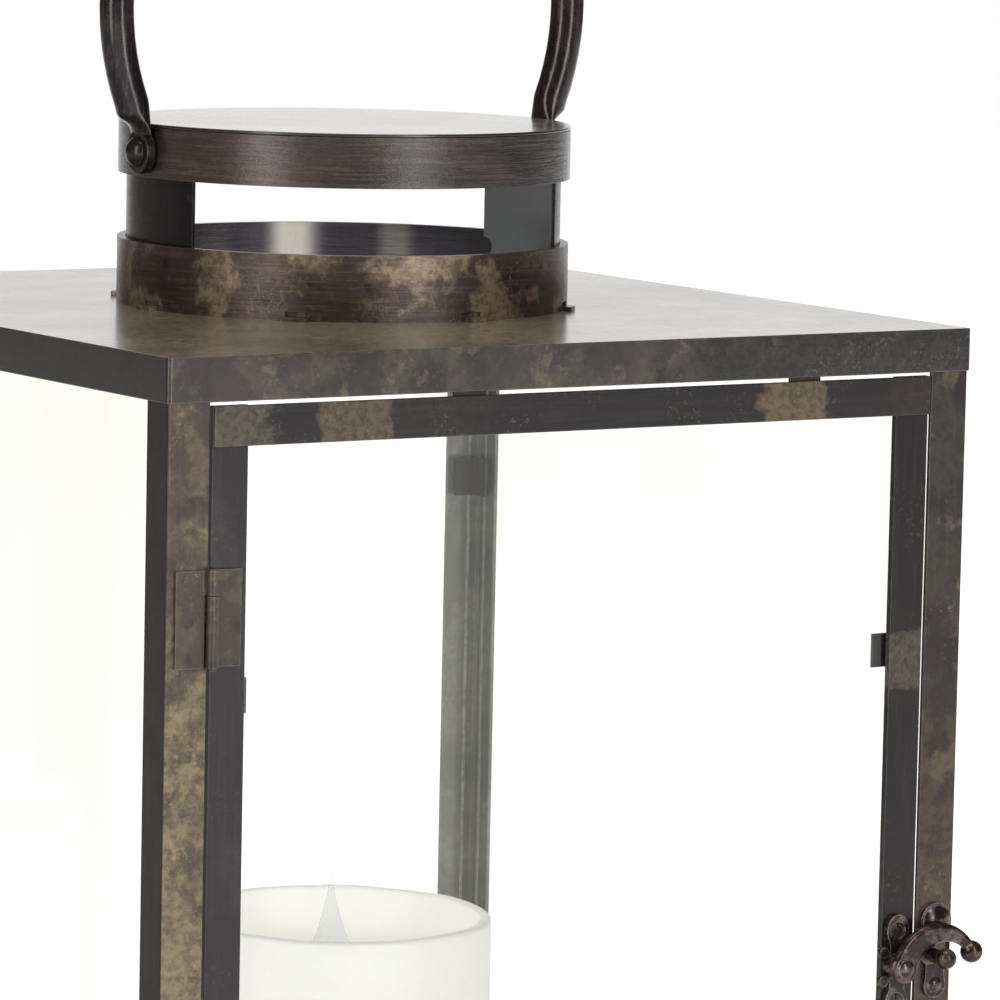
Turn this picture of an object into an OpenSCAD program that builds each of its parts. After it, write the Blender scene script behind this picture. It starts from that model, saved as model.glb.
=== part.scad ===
// Candle lantern: a sheet-metal and angle-iron case with glass panes, a hinged door with a
// hook latch, a vented chimney, a bail handle and a flameless candle with a moving flame.
// Millimetres. +Z is up, the door faces -Y. The origin is the middle of the underside.

/* [Case] */
// Width and depth of the lid and of the base tray
lid_w = 240; // [200:1:320]
// Height from the underside of the base to the top of the lid
body_h = 336; // [280:1:460]
// Thickness of the lid and tray sheet
sheet_t = 0.6; // [0.5:0.1:1.2]
// Height of the folded flanges on the lid and on the tray
flange_h = 11.2; // [8:0.1:15]
// Outer radius of the folded corners
fold_r = 1.2; // [0.8:0.1:2]

/* [Posts] */
// Leg of the corner angles beside the door and on the back
post_front_w = 11.6; // [9:0.1:14]
// Leg of the corner angles on the left and right
post_side_w = 10.8; // [9:0.1:14]
// Thickness of the corner angles
post_t = 1.2; // [0.8:0.1:1.8]

/* [Glass] */
// Thickness of the panes
glass_t = 2; // [1.5:0.1:3]
// Clearance round the edges of a pane
glass_gap = 0.2; // [0.1:0.05:0.5]
// Thickness of the bent clips that hold the glass
clip_t = 0.8; // [0.6:0.1:1.2]
// Reach of a corner clip over its pane
clip_reach = 6; // [4:0.5:9]
// Height of a corner clip
clip_h = 11; // [6:0.2:16]
// Distance from the lid top to the middle of the upper clips
clip_drop = 64; // [40:1:90]

/* [Door] */
// Gap between the door and the posts
door_gap = 0.8; // [0.5:0.1:1.5]
// Gap between the door and the flanges above and below it
door_end_gap = 0.95; // [0.5:0.05:2]
// Width of the upright bars
stile_w = 10.1; // [8:0.1:14]
// Thickness of the upright bars
stile_t = 1.8; // [1.5:0.1:3]
// Height of the cross bars
rail_h = 10; // [8:0.1:14]
// Thickness of the cross bars, which lap over the uprights
rail_t = 1.2; // [0.8:0.1:2]
// How far the uprights sit back from the face of the posts
door_set = 0.2; // [0:0.05:0.5]
// How far the door glass reaches behind the bars
glass_lap = 3; // [2:0.5:5]
// Width and height of a door glass clip
door_clip_size = [2.8, 8.9]; // [2:0.1:12]
// Distance from the lid top to the middle of the upper door clips
door_clip_drop = 84.2; // [40:1:110]
// Width of a door stop tab
stop_w = 9.7; // [6:0.1:20]
// How far a stop tab reaches down behind the top bar
stop_lap = 2.6; // [1.5:0.1:3.5]
// Where the two stop tabs stand, from the middle of the front
stop_x = [-33.5, 68]; // [-90:0.5:90]

/* [Hinges] */
// Distance from the lid top, and from the underside, to the middle of a hinge
hinge_inset = 64; // [30:1:100]
// Height of a hinge leaf
hinge_h = 24; // [18:0.5:36]
// Height of the upper knuckle, which belongs to the post leaf
upper_knuckle_h = 6; // [4:0.5:10]
// Radius of the knuckles
knuckle_r = 1.4; // [1.2:0.1:2]
// Thickness of the leaves
leaf_t = 0.8; // [0.5:0.1:1.2]
// Width of the leaf on the post
post_leaf_w = 8; // [6:0.1:9]
// Width of the leaf on the door
door_leaf_w = 7; // [5:0.1:8.5]
// Radius of the hinge pins
pin_r = 0.7; // [0.5:0.05:0.9]
// Radial clearance of moving parts on pins, rivets and wires
run_gap = 0.05; // [0.02:0.01:0.1]
// Clearance between moving parts that pass each other
pass_gap = 0.3; // [0.2:0.05:0.5]

/* [Latch] */
// Height of the hook's pivot below the lid top
latch_drop = 167.5; // [120:0.5:200]
// Thickness of the plates on the door and on the post
plate_t = 1.4; // [1:0.1:2]
// Half height of the lobes of the door plate
lobe_r = 4.3; // [3.5:0.1:4.8]
// Width of a lobe for each millimetre of its height
lobe_slim = 0.8; // [0.7:0.01:1]
// Radius of the small ears beside the hub
ear_r = 1.5; // [1:0.1:2]
// Radius of the screw shanks
screw_r = 1.1; // [0.8:0.1:1.4]
// Radius of the countersunk screw holes
screw_head_r = 2.3; // [2:0.1:2.6]
// Distance from the pivot to each screw of the door plate
lobe_pitch = 9.4; // [9:0.1:14]
// Height of the boss under the hook
boss_h = 1.8; // [1.7:0.1:3]
// Radius of the hook's hub and of the boss
hub_r = 3.4; // [3:0.1:4.2]
// Thickness of the hook's arm
arm_t = 2.8; // [2:0.1:3.5]
// Outer radius of the arm's curve
arm_r = 14.4; // [13.8:0.1:16]
// Inner radius of the arm's curve
arm_inner_r = 9.6; // [8.5:0.1:9.9]
// Radius of the ball at the tip of the hook
tip_ball_r = 3; // [2:0.1:3.2]
// How far the tip stands above the middle of the arm's curve, as an angle
tip_angle = 24; // [15:1:40]
// Radius of the stem that the hook drops over
stem_r = 1.9; // [1.5:0.05:2.1]
// Radius of the ball on the end of the stem
peg_ball_r = 2.75; // [2.4:0.05:2.8]
// Radius of the hook's rivet
hook_rivet_r = 1.3; // [1:0.1:1.8]
// Height of the keeper's head above the pivot
keeper_rise = 11; // [9:0.1:14]
// Depth of the keeper's foot below the pivot
keeper_fall = 6; // [5:0.1:9]
// Radius of the keeper's head
keeper_head_r = 4.9; // [4:0.1:5.3]
// Radius of the keeper's foot
keeper_foot_r = 3.5; // [2.5:0.1:4.5]
// Height of the domed screw heads on the keeper
dome_h = 1.5; // [0.8:0.1:1.6]

/* [Chimney] */
// Outer radius of the sleeve that carries the cap
sleeve_r = 57.8; // [50:0.1:64]
// Thickness of the sleeve sheet
sleeve_t = 1; // [0.6:0.1:1.5]
// Thickness of the collar and of the cap band
band_t = 2.2; // [1.5:0.1:3]
// Clearance between the sleeve and the bands round it
band_gap = 0.15; // [0.05:0.05:0.3]
// Height of the collar
collar_h = 17.2; // [10:0.1:20]
// Height of the solid foot of the sleeve
sleeve_foot_h = 5; // [3:0.5:9]
// Height of the cap's underside above the lid
vent_top = 34.5; // [28:0.1:44]
// Height of the cap, disc and band together
cap_h = 14.1; // [11:0.1:20]
// Thickness of the cap disc
disc_t = 1; // [0.6:0.1:2]
// Half angle of each pillar of the sleeve, seen from above
pillar_half = 31; // [16:0.5:36]
// Turn of the pillars away from the rivets, seen from above
pillar_turn = -14.5; // [-20:0.5:20]
// Radius of the relief notches at the feet of the pillars
notch_r = 2.6; // [1.5:0.1:3.5]
// Height of the relief notches above the lid
notch_z = 12.6; // [9:0.1:20]
// Radius of the vent hole in the lid
vent_r = 50; // [30:1:54]
// Number of bent tabs round the foot of the collar
tab_count = 8; // [4:1:12]
// Width of a bent tab
tab_w = 6.2; // [4:0.1:9]
// Turn of the first tab from the right, seen from above
tab_turn = 3; // [0:0.5:45]
// How far a bent tab stands out
tab_reach = 2.4; // [1.5:0.1:4]
// Thickness of a bent tab
tab_t = 1.2; // [0.8:0.1:2]

/* [Bail handle] */
// Radius of the handle's curve, to the middle of the rod
bail_r = 69.6; // [67:0.1:80]
// Radius of the rod
rod_r = 4.5; // [3:0.1:4.8]
// Height of the pivots above the lid
pivot_rise = 41.2; // [38:0.1:50]
// Height of the curve's centre above the pivots
bail_rise = 38.2; // [30:0.1:60]
// Length of the forged neck between the rod and an eye
neck_h = 13; // [12:0.5:18]
// Radius of the eyes
eye_r = 5.8; // [5:0.1:8.5]
// Thickness of the eyes
eye_t = 2.5; // [2:0.1:3.5]
// Clearance between an eye and the cap band
eye_gap = 0.4; // [0.3:0.05:0.8]
// Radius of the rivet shanks
rivet_r = 2.4; // [1.8:0.1:3]
// Radius of the domed rivet heads
rivet_head_r = 4.1; // [3.6:0.1:5]
// Height of the domed rivet heads
rivet_head_h = 2.8; // [1.5:0.1:3.5]

/* [Candle] */
// Radius of the candle
candle_r = 43.8; // [36:0.1:50]
// Height of the candle
candle_h = 170.4; // [150:0.1:220]
// Thickness of the wax wall at the rim
rim_w = 2.9; // [2.4:0.1:8]
// Radius of the rounded rim
rim_round = 1.1; // [0.6:0.1:1.2]
// Depth of the dished top
dish_depth = 18; // [12:0.5:26]
// Radius of the housing inside the wax
core_r = 24; // [21:0.5:30]
// Radius of the opening round the flame
well_r = 9; // [8:0.1:11]
// Width of the flame paddle
flame_w = 11.6; // [8:0.1:13]
// How far the flame stands above the rim
flame_rise = 11; // [6:0.5:20]
// Thickness of the flame paddle
flame_t = 1.2; // [0.8:0.1:1.8]
// Radius of the wire that the flame hangs on
wire_r = 0.4; // [0.3:0.05:0.5]
// Radius of a battery
battery_r = 7.2; // [5:0.1:7.6]
// Length of a battery
battery_l = 50; // [40:0.5:60]
// Travel of the slide switch
switch_travel = 3; // [2:0.1:4]

/* [Hidden] */
$fn = 64;

// A little extra length, so that a cutter passes clean through
cut = 1;
// Smallest clearance, between fixed pieces that only touch
seat = 0.05;

// Case
half_w = lid_w / 2;
post_out = half_w - sheet_t;          // outer face of the posts
post_in = post_out - post_t;          // inner face of the posts
floor_z = sheet_t;
ceiling_z = body_h - sheet_t;

// Door, measured from the middle of the front
opening_half = post_out - post_front_w;
door_half = opening_half - door_gap;
door_low = flange_h + door_end_gap;
door_top = body_h - flange_h - door_end_gap;
stile_front = post_out - door_set;    // distance of the uprights' front from the middle
stile_back = stile_front - stile_t;
stile_inner = door_half - stile_w;
pane_front = stile_back - seat;       // front face of the door glass

// Hinges
axis_x = -(opening_half + door_half) / 2;
axis_y = -(post_out + knuckle_r + pass_gap);
hinge_z = [body_h - hinge_inset, hinge_inset];
strap_y = axis_y + pin_r + run_gap + 0.05;  // front of the straps that join leaf and knuckle

// Latch: the pivot, the two arcs of the arm and the stem, in the plane of the front
pivot_x = opening_half - 7.1;
pivot_z = body_h - latch_drop;
arm_drop = 3.1;                       // depth of the arm's middle below the pivot
arm_c = [pivot_x + arm_r - hub_r - 0.6, pivot_z - arm_drop];
arm_inner_c = [arm_c[0] + 2.8, arm_c[1] - 0.5];
tip_c = [arm_c[0] + (arm_r - 1.6) * cos(tip_angle), arm_c[1] + (arm_r - 0.2) * sin(tip_angle)];
boss_front = stile_front + plate_t + boss_h;
arm_back = boss_front + 0.2;          // distance of the arm's rear face from the middle
arm_front = arm_back + arm_t;
peg_x = arm_inner_c[0] - 2.6;
peg_z = arm_inner_c[1] + arm_inner_r - 0.8 - peg_ball_r;
peg_ball_y = arm_front + pass_gap + peg_ball_r;
keeper_x = (opening_half + post_out) / 2;
plate_x = pivot_x + 0.6;              // middle of the door plate

// Chimney
band_in = sleeve_r + band_gap;
band_r = band_in + band_t;
cap_low = body_h + vent_top;
cap_top = cap_low + cap_h;

// Bail handle
eye_in = band_r + eye_gap;
bail_pivot_z = body_h + pivot_rise;
bail_c_z = bail_pivot_z + bail_rise;
rod_end_angle = asin((neck_h - bail_rise) / bail_r);
shoulder_z = rivet_head_r + 0.5;      // the neck thickens above the rivet head

// Candle
candle_top = floor_z + candle_h;
dish_z = candle_top - dish_depth;
core_top = dish_z - 2.5;
wire_z = core_top - 3;
flame_tip = candle_top + flame_rise;
flame_foot = wire_z - 9;
bay_low = floor_z + 4;
switch_y = core_r - 6;
knob_half = 1.5;
slot_half = knob_half + switch_travel / 2 + pass_gap;
magnet_r = 3;
magnet_t = 2;

// Square with rounded corners, centred
module round_square(w, r) {
    square([w - 2 * r, w], center = true);
    square([w, w - 2 * r], center = true);
    for (x = [-1, 1], y = [-1, 1])
        translate([x * (w / 2 - r), y * (w / 2 - r)])
            circle(r);
}

// Ring standing on z = 0
module ring(r_out, r_in, h) {
    difference() {
        cylinder(r = r_out, h = h);
        translate([0, 0, -cut])
            cylinder(r = r_in, h = h + 2 * cut);
    }
}

// Flat shape in the plane of the front, from one distance to another in front of the middle
module front_plate(near, far) {
    translate([0, -near, 0])
        rotate([90, 0, 0])
            linear_extrude(far - near)
                children();
}

// Round bar that points out of the front at a given place
module front_bar(x, z, r, near, far) {
    translate([x, -near, z])
        rotate([90, 0, 0])
            cylinder(r = r, h = far - near);
}

// Domed head on a front face
module front_dome(x, z, r, h, near) {
    ball_r = (r * r + h * h) / (2 * h);
    intersection() {
        front_bar(x, z, r + 1, near, near + h + cut);
        translate([x, -(near + h - ball_r), z])
            sphere(ball_r, $fn = 120);
    }
}

// Box from its lowest to its highest corner
module box(low, high) {
    translate(low)
        cube(high - low);
}

// ---- Case ----

// Pressed tray, flat side down, flange up
module pressing() {
    difference() {
        linear_extrude(flange_h)
            round_square(lid_w, fold_r);
        translate([0, 0, sheet_t])
            linear_extrude(flange_h)
                round_square(lid_w - 2 * sheet_t, max(fold_r - sheet_t, 0.2));
    }
}

module lid() {
    color("dimgray")
        difference() {
            translate([0, 0, body_h])
                mirror([0, 0, 1])
                    pressing();
            translate([0, 0, ceiling_z - cut])
                cylinder(r = vent_r, h = sheet_t + 2 * cut);
        }
}

module base_tray() {
    color("dimgray")
        pressing();
}

// Angle-iron post at the corner given by the two signs; its outer corner is eased like the fold
module post(sx, sy) {
    ease = max(fold_r - sheet_t, 0.2);
    color("slategray")
        translate([0, 0, floor_z])
            linear_extrude(ceiling_z - floor_z)
                scale([sx, sy])
                    difference() {
                        intersection() {
                            round_square(2 * post_out, ease);
                            translate([post_out - post_front_w, post_out - post_side_w])
                                square([post_front_w, post_side_w]);
                        }
                        translate([post_in - lid_w, post_in - lid_w])
                            square(lid_w);
                    }
}

module post_front_left() { post(-1, -1); }
module post_front_right() { post(1, -1); }
module post_back_left() { post(-1, 1); }
module post_back_right() { post(1, 1); }

// ---- Fixed panes ----

pane_out = post_in - glass_gap;
pane_half = pane_out - glass_t - clip_t - glass_gap;  // leaves room for the clip in the corner

// Pane behind the back posts
module pane() {
    color("aliceblue", 0.35)
        box([-pane_half, pane_out - glass_t, floor_z],
            [pane_half, pane_out, ceiling_z - glass_gap]);
}

module pane_back() { pane(); }
module pane_left() { rotate(90) pane(); }
module pane_right() { rotate(-90) pane(); }

// Clip in a corner: a root in the corner of the post and a lip over each pane beside it
module corner_clip(both) {
    lip = pane_out - glass_t - seat;
    root = pane_half + seat;
    box([root, root, 0], [post_in, post_in, clip_h]);
    box([lip - clip_t, root - clip_reach, 0], [lip, lip, clip_h]);
    if (both)
        box([root - clip_reach, lip - clip_t, 0], [lip, lip, clip_h]);
}

module pane_clips() {
    color("dimgray")
        for (z = [body_h - clip_drop, clip_drop], sx = [-1, 1], sy = [-1, 1])
            translate([0, 0, z - clip_h / 2])
                scale([sx, sy, 1])
                    corner_clip(sy > 0);
}

// ---- Door stops ----

module door_stops() {
    lap_z = body_h - flange_h - door_end_gap - stop_lap;
    tab_front = stile_front - 0.3;
    color("dimgray")
        for (x = stop_x)
            translate([x - stop_w / 2, 0, 0]) {
                box([0, -post_out, body_h - flange_h], [stop_w, clip_t - post_out, ceiling_z]);
                box([0, -tab_front, lap_z],
                    [stop_w, clip_t - tab_front, body_h - flange_h + 3]);
            }
}

// ---- Chimney ----

// Collar with bent-out tabs, each leaving a notch in the foot
module chimney_collar() {
    color("gray")
        translate([0, 0, body_h])
            difference() {
                union() {
                    ring(band_r, band_in, collar_h);
                    for (i = [0 : tab_count - 1])
                        rotate(tab_turn + i * 360 / tab_count)
                            box([band_in + band_t / 2, -tab_w / 2, 0],
                                [band_r + tab_reach, tab_w / 2, tab_t]);
                }
                for (i = [0 : tab_count - 1])
                    rotate(tab_turn + i * 360 / tab_count)
                        box([band_in + band_t / 2, -tab_w / 2, tab_t],
                            [band_r + tab_reach + cut, tab_w / 2, 2 * tab_t]);
                translate([0, 0, -cut])
                    cylinder(r = band_in, h = collar_h + 2 * cut);
            }
}

// Wedge-shaped cutter for the front window of the sleeve
module window_cutter() {
    a = pillar_half;
    far = 2 * sleeve_r;
    translate([0, 0, sleeve_foot_h])
        linear_extrude(vent_top - sleeve_foot_h)
            polygon([[0, 0],
                     [-far * cos(a), -far * sin(a)],
                     [-far * cos(a), -far],
                     [far * cos(a), -far],
                     [far * cos(a), -far * sin(a)]]);
}

module chimney_sleeve() {
    top = vent_top + cap_h - disc_t;
    color("slategray")
        difference() {
            translate([0, 0, body_h])
                difference() {
                    ring(sleeve_r, sleeve_r - sleeve_t, top);
                    for (side = [0, 180])
                        rotate(side + pillar_turn)
                            window_cutter();
                    for (side = [0, 180], edge = [-1, 1])
                        rotate(side + pillar_turn + edge * (pillar_half - 0.5))
                            translate([sleeve_r - 3, 0, notch_z])
                                rotate([0, 90, 0])
                                    cylinder(r = notch_r, h = 6);
                }
            rivet_holes();
        }
}

// Bores for the handle rivets, through the cap band and the sleeve
module rivet_holes() {
    for (s = [-1, 1])
        translate([s * (sleeve_r - 2 * sleeve_t - cut), 0, bail_pivot_z])
            rotate([0, s * 90, 0])
                cylinder(r = rivet_r, h = band_t + 4 * sleeve_t + 2 * cut);
}

module chimney_cap_band() {
    color("gray")
        difference() {
            translate([0, 0, cap_low])
                ring(band_r, band_in, cap_h - disc_t);
            rivet_holes();
        }
}

module chimney_cap_disc() {
    color("darkgray")
        translate([0, 0, cap_top - disc_t])
            cylinder(r = band_r, h = disc_t);
}

// ---- Bail handle ----

// One rivet, along +X: inner head, shank and domed outer head
module handle_rivet() {
    inner = sleeve_r - sleeve_t;
    outer = eye_in + eye_t + 0.1;
    ball_r = (rivet_head_r * rivet_head_r + rivet_head_h * rivet_head_h) / (2 * rivet_head_h);
    flat_in = sqrt(inner * inner - rivet_head_r * rivet_head_r) - 0.1;
    translate([0, 0, bail_pivot_z])
        rotate([0, 90, 0]) {
            translate([0, 0, flat_in - 1.2])
                cylinder(r = rivet_head_r, h = 1.2);
            translate([0, 0, flat_in - 1.2])
                cylinder(r = rivet_r, h = outer - flat_in + 1.2 + 0.3);
            intersection() {
                translate([0, 0, outer])
                    cylinder(r = rivet_head_r + 1, h = rivet_head_h + cut);
                translate([0, 0, outer + rivet_head_h - ball_r])
                    sphere(ball_r);
            }
        }
}

module handle_rivets() {
    color("dimgray")
        for (a = [0, 180])
            rotate(a)
                handle_rivet();
}

// Neck and eye of the +X end: the round rod is forged flat down to the eye
module bail_end() {
    flat_y = eye_r - 0.1;
    flat_top = bail_pivot_z + shoulder_z + 0.6;
    difference() {
        union() {
            hull() {
                translate([0, 0, bail_c_z])
                    rotate([0, -rod_end_angle, 0])
                        translate([bail_r, 0, 0])
                            cylinder(r = rod_r * 0.95, h = 0.6, $fn = 24);
                box([eye_in + 0.1, 0.3 - flat_y, flat_top - 0.6],
                    [eye_in + eye_t - 0.1, flat_y - 0.3, flat_top - 0.2]);
            }
            box([eye_in, -flat_y, bail_pivot_z], [eye_in + eye_t, flat_y, flat_top]);
            translate([eye_in, 0, bail_pivot_z])
                rotate([0, 90, 0])
                    cylinder(r = eye_r, h = eye_t);
        }
        translate([eye_in - cut, 0, bail_pivot_z])
            rotate([0, 90, 0])
                cylinder(r = rivet_r + run_gap, h = eye_t + 2 * cut);
    }
}

module bail_handle() {
    color("dimgray") {
        translate([0, 0, bail_c_z])
            rotate([90, 0, 0])
                rotate([0, 0, rod_end_angle])
                    rotate_extrude(angle = 180 - 2 * rod_end_angle)
                        translate([bail_r, 0])
                            circle(rod_r);
        for (a = [0, 180])
            rotate(a)
                bail_end();
    }
}

// ---- Hinges ----

// Height range of the two knuckles, from the bottom of the hinge
door_knuckle = [0, hinge_h - upper_knuckle_h - 0.25];
post_knuckle = [hinge_h - upper_knuckle_h, hinge_h];

// Knuckle with its bore, round the hinge axis
module knuckle(span, bore_r) {
    difference() {
        union() {
            translate([axis_x, axis_y, span[0]])
                cylinder(r = knuckle_r, h = span[1] - span[0]);
            children();
        }
        translate([axis_x, axis_y, span[0] - cut])
            cylinder(r = bore_r, h = span[1] - span[0] + 2 * cut);
    }
}

module post_leaf(z) {
    edge = axis_x - knuckle_r - pass_gap;
    color("darkkhaki")
        translate([0, 0, z - hinge_h / 2]) {
            box([edge - post_leaf_w, -(post_out + leaf_t), 0], [edge, -post_out, hinge_h]);
            knuckle(post_knuckle, pin_r)
                box([edge - 0.5, strap_y, post_knuckle[0]],
                    [axis_x, -post_out - 0.1, post_knuckle[1]]);
        }
}

module door_leaf(z) {
    edge = axis_x + knuckle_r + pass_gap;
    color("darkkhaki")
        translate([0, 0, z - hinge_h / 2]) {
            box([edge, -(stile_front + leaf_t), 0], [edge + door_leaf_w, -stile_front, hinge_h]);
            knuckle(door_knuckle, pin_r + run_gap)
                box([axis_x, strap_y, door_knuckle[0]],
                    [edge + 0.5, -stile_front - 0.1, door_knuckle[1]]);
        }
}

module upper_post_leaf() { post_leaf(hinge_z[0]); }
module lower_post_leaf() { post_leaf(hinge_z[1]); }
module upper_door_leaf() { door_leaf(hinge_z[0]); }
module lower_door_leaf() { door_leaf(hinge_z[1]); }

module hinge_pins() {
    head_h = 0.5;
    color("dimgray")
        for (z = hinge_z)
            translate([axis_x, axis_y, z - hinge_h / 2]) {
                translate([0, 0, -head_h - 0.1])
                    cylinder(r = pin_r, h = hinge_h + 2 * head_h + 0.1);
                translate([0, 0, -head_h - 0.1])
                    cylinder(r = knuckle_r * 0.85, h = head_h);
                translate([0, 0, hinge_h])
                    cylinder(r = knuckle_r * 0.85, h = head_h);
            }
}

// ---- Door ----

module door_rail(z) {
    color("dimgray")
        box([-door_half, -(stile_front + rail_t), z], [door_half, -stile_front, z + rail_h]);
}

module door_top_rail() { door_rail(door_top - rail_h); }
module door_bottom_rail() { door_rail(door_low); }

module door_stile() {
    box([stile_inner, -stile_front, door_low], [door_half, -stile_back, door_top]);
}

module door_hinge_stile() {
    color("slategray")
        mirror([1, 0, 0])
            door_stile();
}

module door_latch_stile() {
    color("slategray")
        difference() {
            door_stile();
            for (s = [-1, 1])
                front_bar(plate_x, pivot_z + s * lobe_pitch, screw_r, stile_back - cut,
                          stile_front + cut);
            front_bar(pivot_x, pivot_z, hook_rivet_r, stile_back - cut, stile_front + cut);
        }
}

glass_low = door_low + rail_h - glass_lap;
glass_top = door_top - rail_h + glass_lap;
glass_half = stile_inner + glass_lap;

module door_glass() {
    color("aliceblue", 0.35)
        box([-glass_half, -pane_front, glass_low], [glass_half, glass_t - pane_front, glass_top]);
}

// Clip soldered to the back of a stile, bent over the edge of the glass
module door_clip() {
    root = glass_half + glass_gap;
    lip = pane_front - glass_t - seat;
    box([root, -stile_back, 0], [root + clip_t, clip_t - lip, door_clip_size[1]]);
    box([stile_inner - door_clip_size[0], -lip, 0], [root + clip_t, clip_t - lip, door_clip_size[1]]);
}

module door_glass_clips() {
    color("dimgray")
        for (z = [body_h - door_clip_drop, door_clip_drop], sx = [-1, 1])
            translate([0, 0, z - door_clip_size[1] / 2])
                scale([sx, 1, 1])
                    door_clip();
}

// ---- Latch ----

// Plate on the door: lobes on a narrow strip, small ears, and a boss under the hook
module latch_plate() {
    strip_half = lobe_r * lobe_slim * 0.7;
    color("slategray")
        difference() {
            union() {
                front_plate(stile_front, stile_front + plate_t) {
                    for (dz = [-lobe_pitch, 0, lobe_pitch])
                        translate([plate_x, pivot_z + dz])
                            scale([lobe_slim, 1])
                                circle(lobe_r);
                    translate([plate_x - strip_half, pivot_z - lobe_pitch])
                        square([2 * strip_half, 2 * lobe_pitch]);
                    for (s = [-1, 1])
                        translate([pivot_x - hub_r - 0.2, pivot_z + s * (hub_r + 0.4)])
                            circle(ear_r);
                }
                front_bar(pivot_x, pivot_z, hub_r, stile_front, boss_front);
            }
            for (s = [-1, 1])
                translate([plate_x, -stile_front, pivot_z + s * lobe_pitch])
                    rotate([90, 0, 0])
                        translate([0, 0, -0.01])
                            cylinder(r1 = screw_r, r2 = screw_head_r, h = plate_t + 0.02);
            front_bar(pivot_x, pivot_z, hook_rivet_r, stile_front - cut, boss_front + cut);
        }
}

// Countersunk screws with a slot, sunk a little below the face of the plate
module latch_screws() {
    slot_w = 0.6;
    color("dimgray")
        for (s = [-1, 1])
            difference() {
                translate([plate_x, -stile_front, pivot_z + s * lobe_pitch])
                    rotate([90, 0, 0]) {
                        cylinder(r1 = screw_r, r2 = screw_head_r - 0.5, h = plate_t - 0.4);
                        translate([0, 0, -stile_t])
                            cylinder(r = screw_r, h = stile_t + 0.1);
                    }
                box([plate_x - slot_w / 2, -(stile_front + plate_t), pivot_z + s * lobe_pitch - 3],
                    [plate_x + slot_w / 2, -(stile_front + plate_t - 0.8),
                     pivot_z + s * lobe_pitch + 3]);
            }
}

module latch_rivet() {
    color("dimgray") {
        front_bar(pivot_x, pivot_z, hook_rivet_r, stile_back, arm_front + 0.3);
        front_dome(pivot_x, pivot_z, hub_r * 0.75, 1.2, arm_front + 0.1);
    }
}

// Disc with a rounded rim, its flat faces looking out of the front
module rounded_disc(r, near, far) {
    h = far - near;
    translate([0, -near, 0])
        rotate([90, 0, 0])
            rotate_extrude() {
                square([r - h / 2, h]);
                translate([r - h / 2, h / 2])
                    circle(h / 2, $fn = 32);
            }
}

// Cutter for the inside of the arm, flared so that the arm's inner edge is rounded
module arm_inner_cutter() {
    h = arm_t;
    translate([arm_inner_c[0], -arm_back, arm_inner_c[1]])
        rotate([90, 0, 0])
            rotate_extrude()
                difference() {
                    translate([0, -cut])
                        square([arm_inner_r + h / 2, h + 2 * cut]);
                    translate([arm_inner_r + h / 2, h / 2])
                        circle(h / 2, $fn = 32);
                }
}

// Sector that keeps the arm between the hub and the tip
module arm_sector() {
    far = 2 * arm_r;
    front_plate(arm_back - cut, arm_front + cut)
        translate(arm_c)
            polygon([[0, 0], [far * cos(tip_angle), far * sin(tip_angle)], [far, far],
                     [-far, far], [-far, arm_drop + 0.1], [0, arm_drop + 0.1]]);
}

module latch_hook() {
    color("slategray")
        difference() {
            union() {
                intersection() {
                    difference() {
                        translate([arm_c[0], 0, arm_c[1]])
                            rounded_disc(arm_r, arm_back, arm_front);
                        arm_inner_cutter();
                    }
                    arm_sector();
                }
                translate([pivot_x + 0.3, 0, pivot_z])
                    rounded_disc(hub_r + 0.8, arm_back, arm_front);
                translate([tip_c[0], -(arm_back + arm_t / 2), tip_c[1]])
                    sphere(tip_ball_r);
            }
            front_bar(pivot_x, pivot_z, hook_rivet_r + run_gap, arm_back - cut, arm_front + cut);
        }
}

// Keeper on the post: round head, narrow waist, round foot, and the stem with its ball
module latch_keeper() {
    front = post_out + plate_t - door_set;
    waist_half = keeper_foot_r * 0.85;
    color("slategray") {
        difference() {
            front_plate(post_out, front) {
                translate([keeper_x, pivot_z + keeper_rise])
                    circle(keeper_head_r);
                translate([keeper_x - waist_half, pivot_z - keeper_fall])
                    square([2 * waist_half, keeper_rise + keeper_fall]);
                translate([keeper_x, pivot_z - keeper_fall])
                    circle(keeper_foot_r);
            }
            for (dz = [keeper_rise, -keeper_fall])
                front_bar(keeper_x, pivot_z + dz, screw_r, post_out - cut, front + cut);
        }
        front_bar(peg_x, peg_z, stem_r, post_out, peg_ball_y);
        front_bar(peg_x, peg_z, stem_r + 0.8, post_out, front + 0.5);
        translate([peg_x, -peg_ball_y, peg_z])
            sphere(peg_ball_r);
    }
}

module keeper_screws() {
    front = post_out + plate_t - door_set;
    color("dimgray") {
        front_dome(keeper_x, pivot_z + keeper_rise, keeper_head_r - 0.5, dome_h, front);
        front_bar(keeper_x, pivot_z + keeper_rise, screw_r, post_out, front + 0.3);
        front_dome(keeper_x, pivot_z - keeper_fall, keeper_foot_r - 1.3, dome_h * 0.8, front);
        front_bar(keeper_x, pivot_z - keeper_fall, screw_r, post_out, front + 0.3);
    }
}

// ---- Candle ----

module candle_shell() {
    inner_rim = candle_r - rim_w;
    color("ivory")
        rotate_extrude()
            difference() {
                union() {
                    translate([0, floor_z])
                        square([candle_r - rim_round, candle_h]);
                    translate([0, floor_z])
                        square([candle_r, candle_h - rim_round]);
                    translate([candle_r - rim_round, candle_top - rim_round])
                        circle(rim_round);
                }
                // dished top
                polygon([[0, candle_top + cut], [inner_rim, candle_top + cut],
                         [inner_rim, candle_top - 1], [inner_rim - 3, dish_z + 6],
                         [inner_rim - 9, dish_z + 1.5], [well_r, dish_z], [0, dish_z]]);
                // opening for the flame
                translate([0, core_top - cut])
                    square([well_r, dish_depth + cut]);
                // room for the housing
                square([core_r + seat, core_top + seat]);
            }
}

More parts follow.
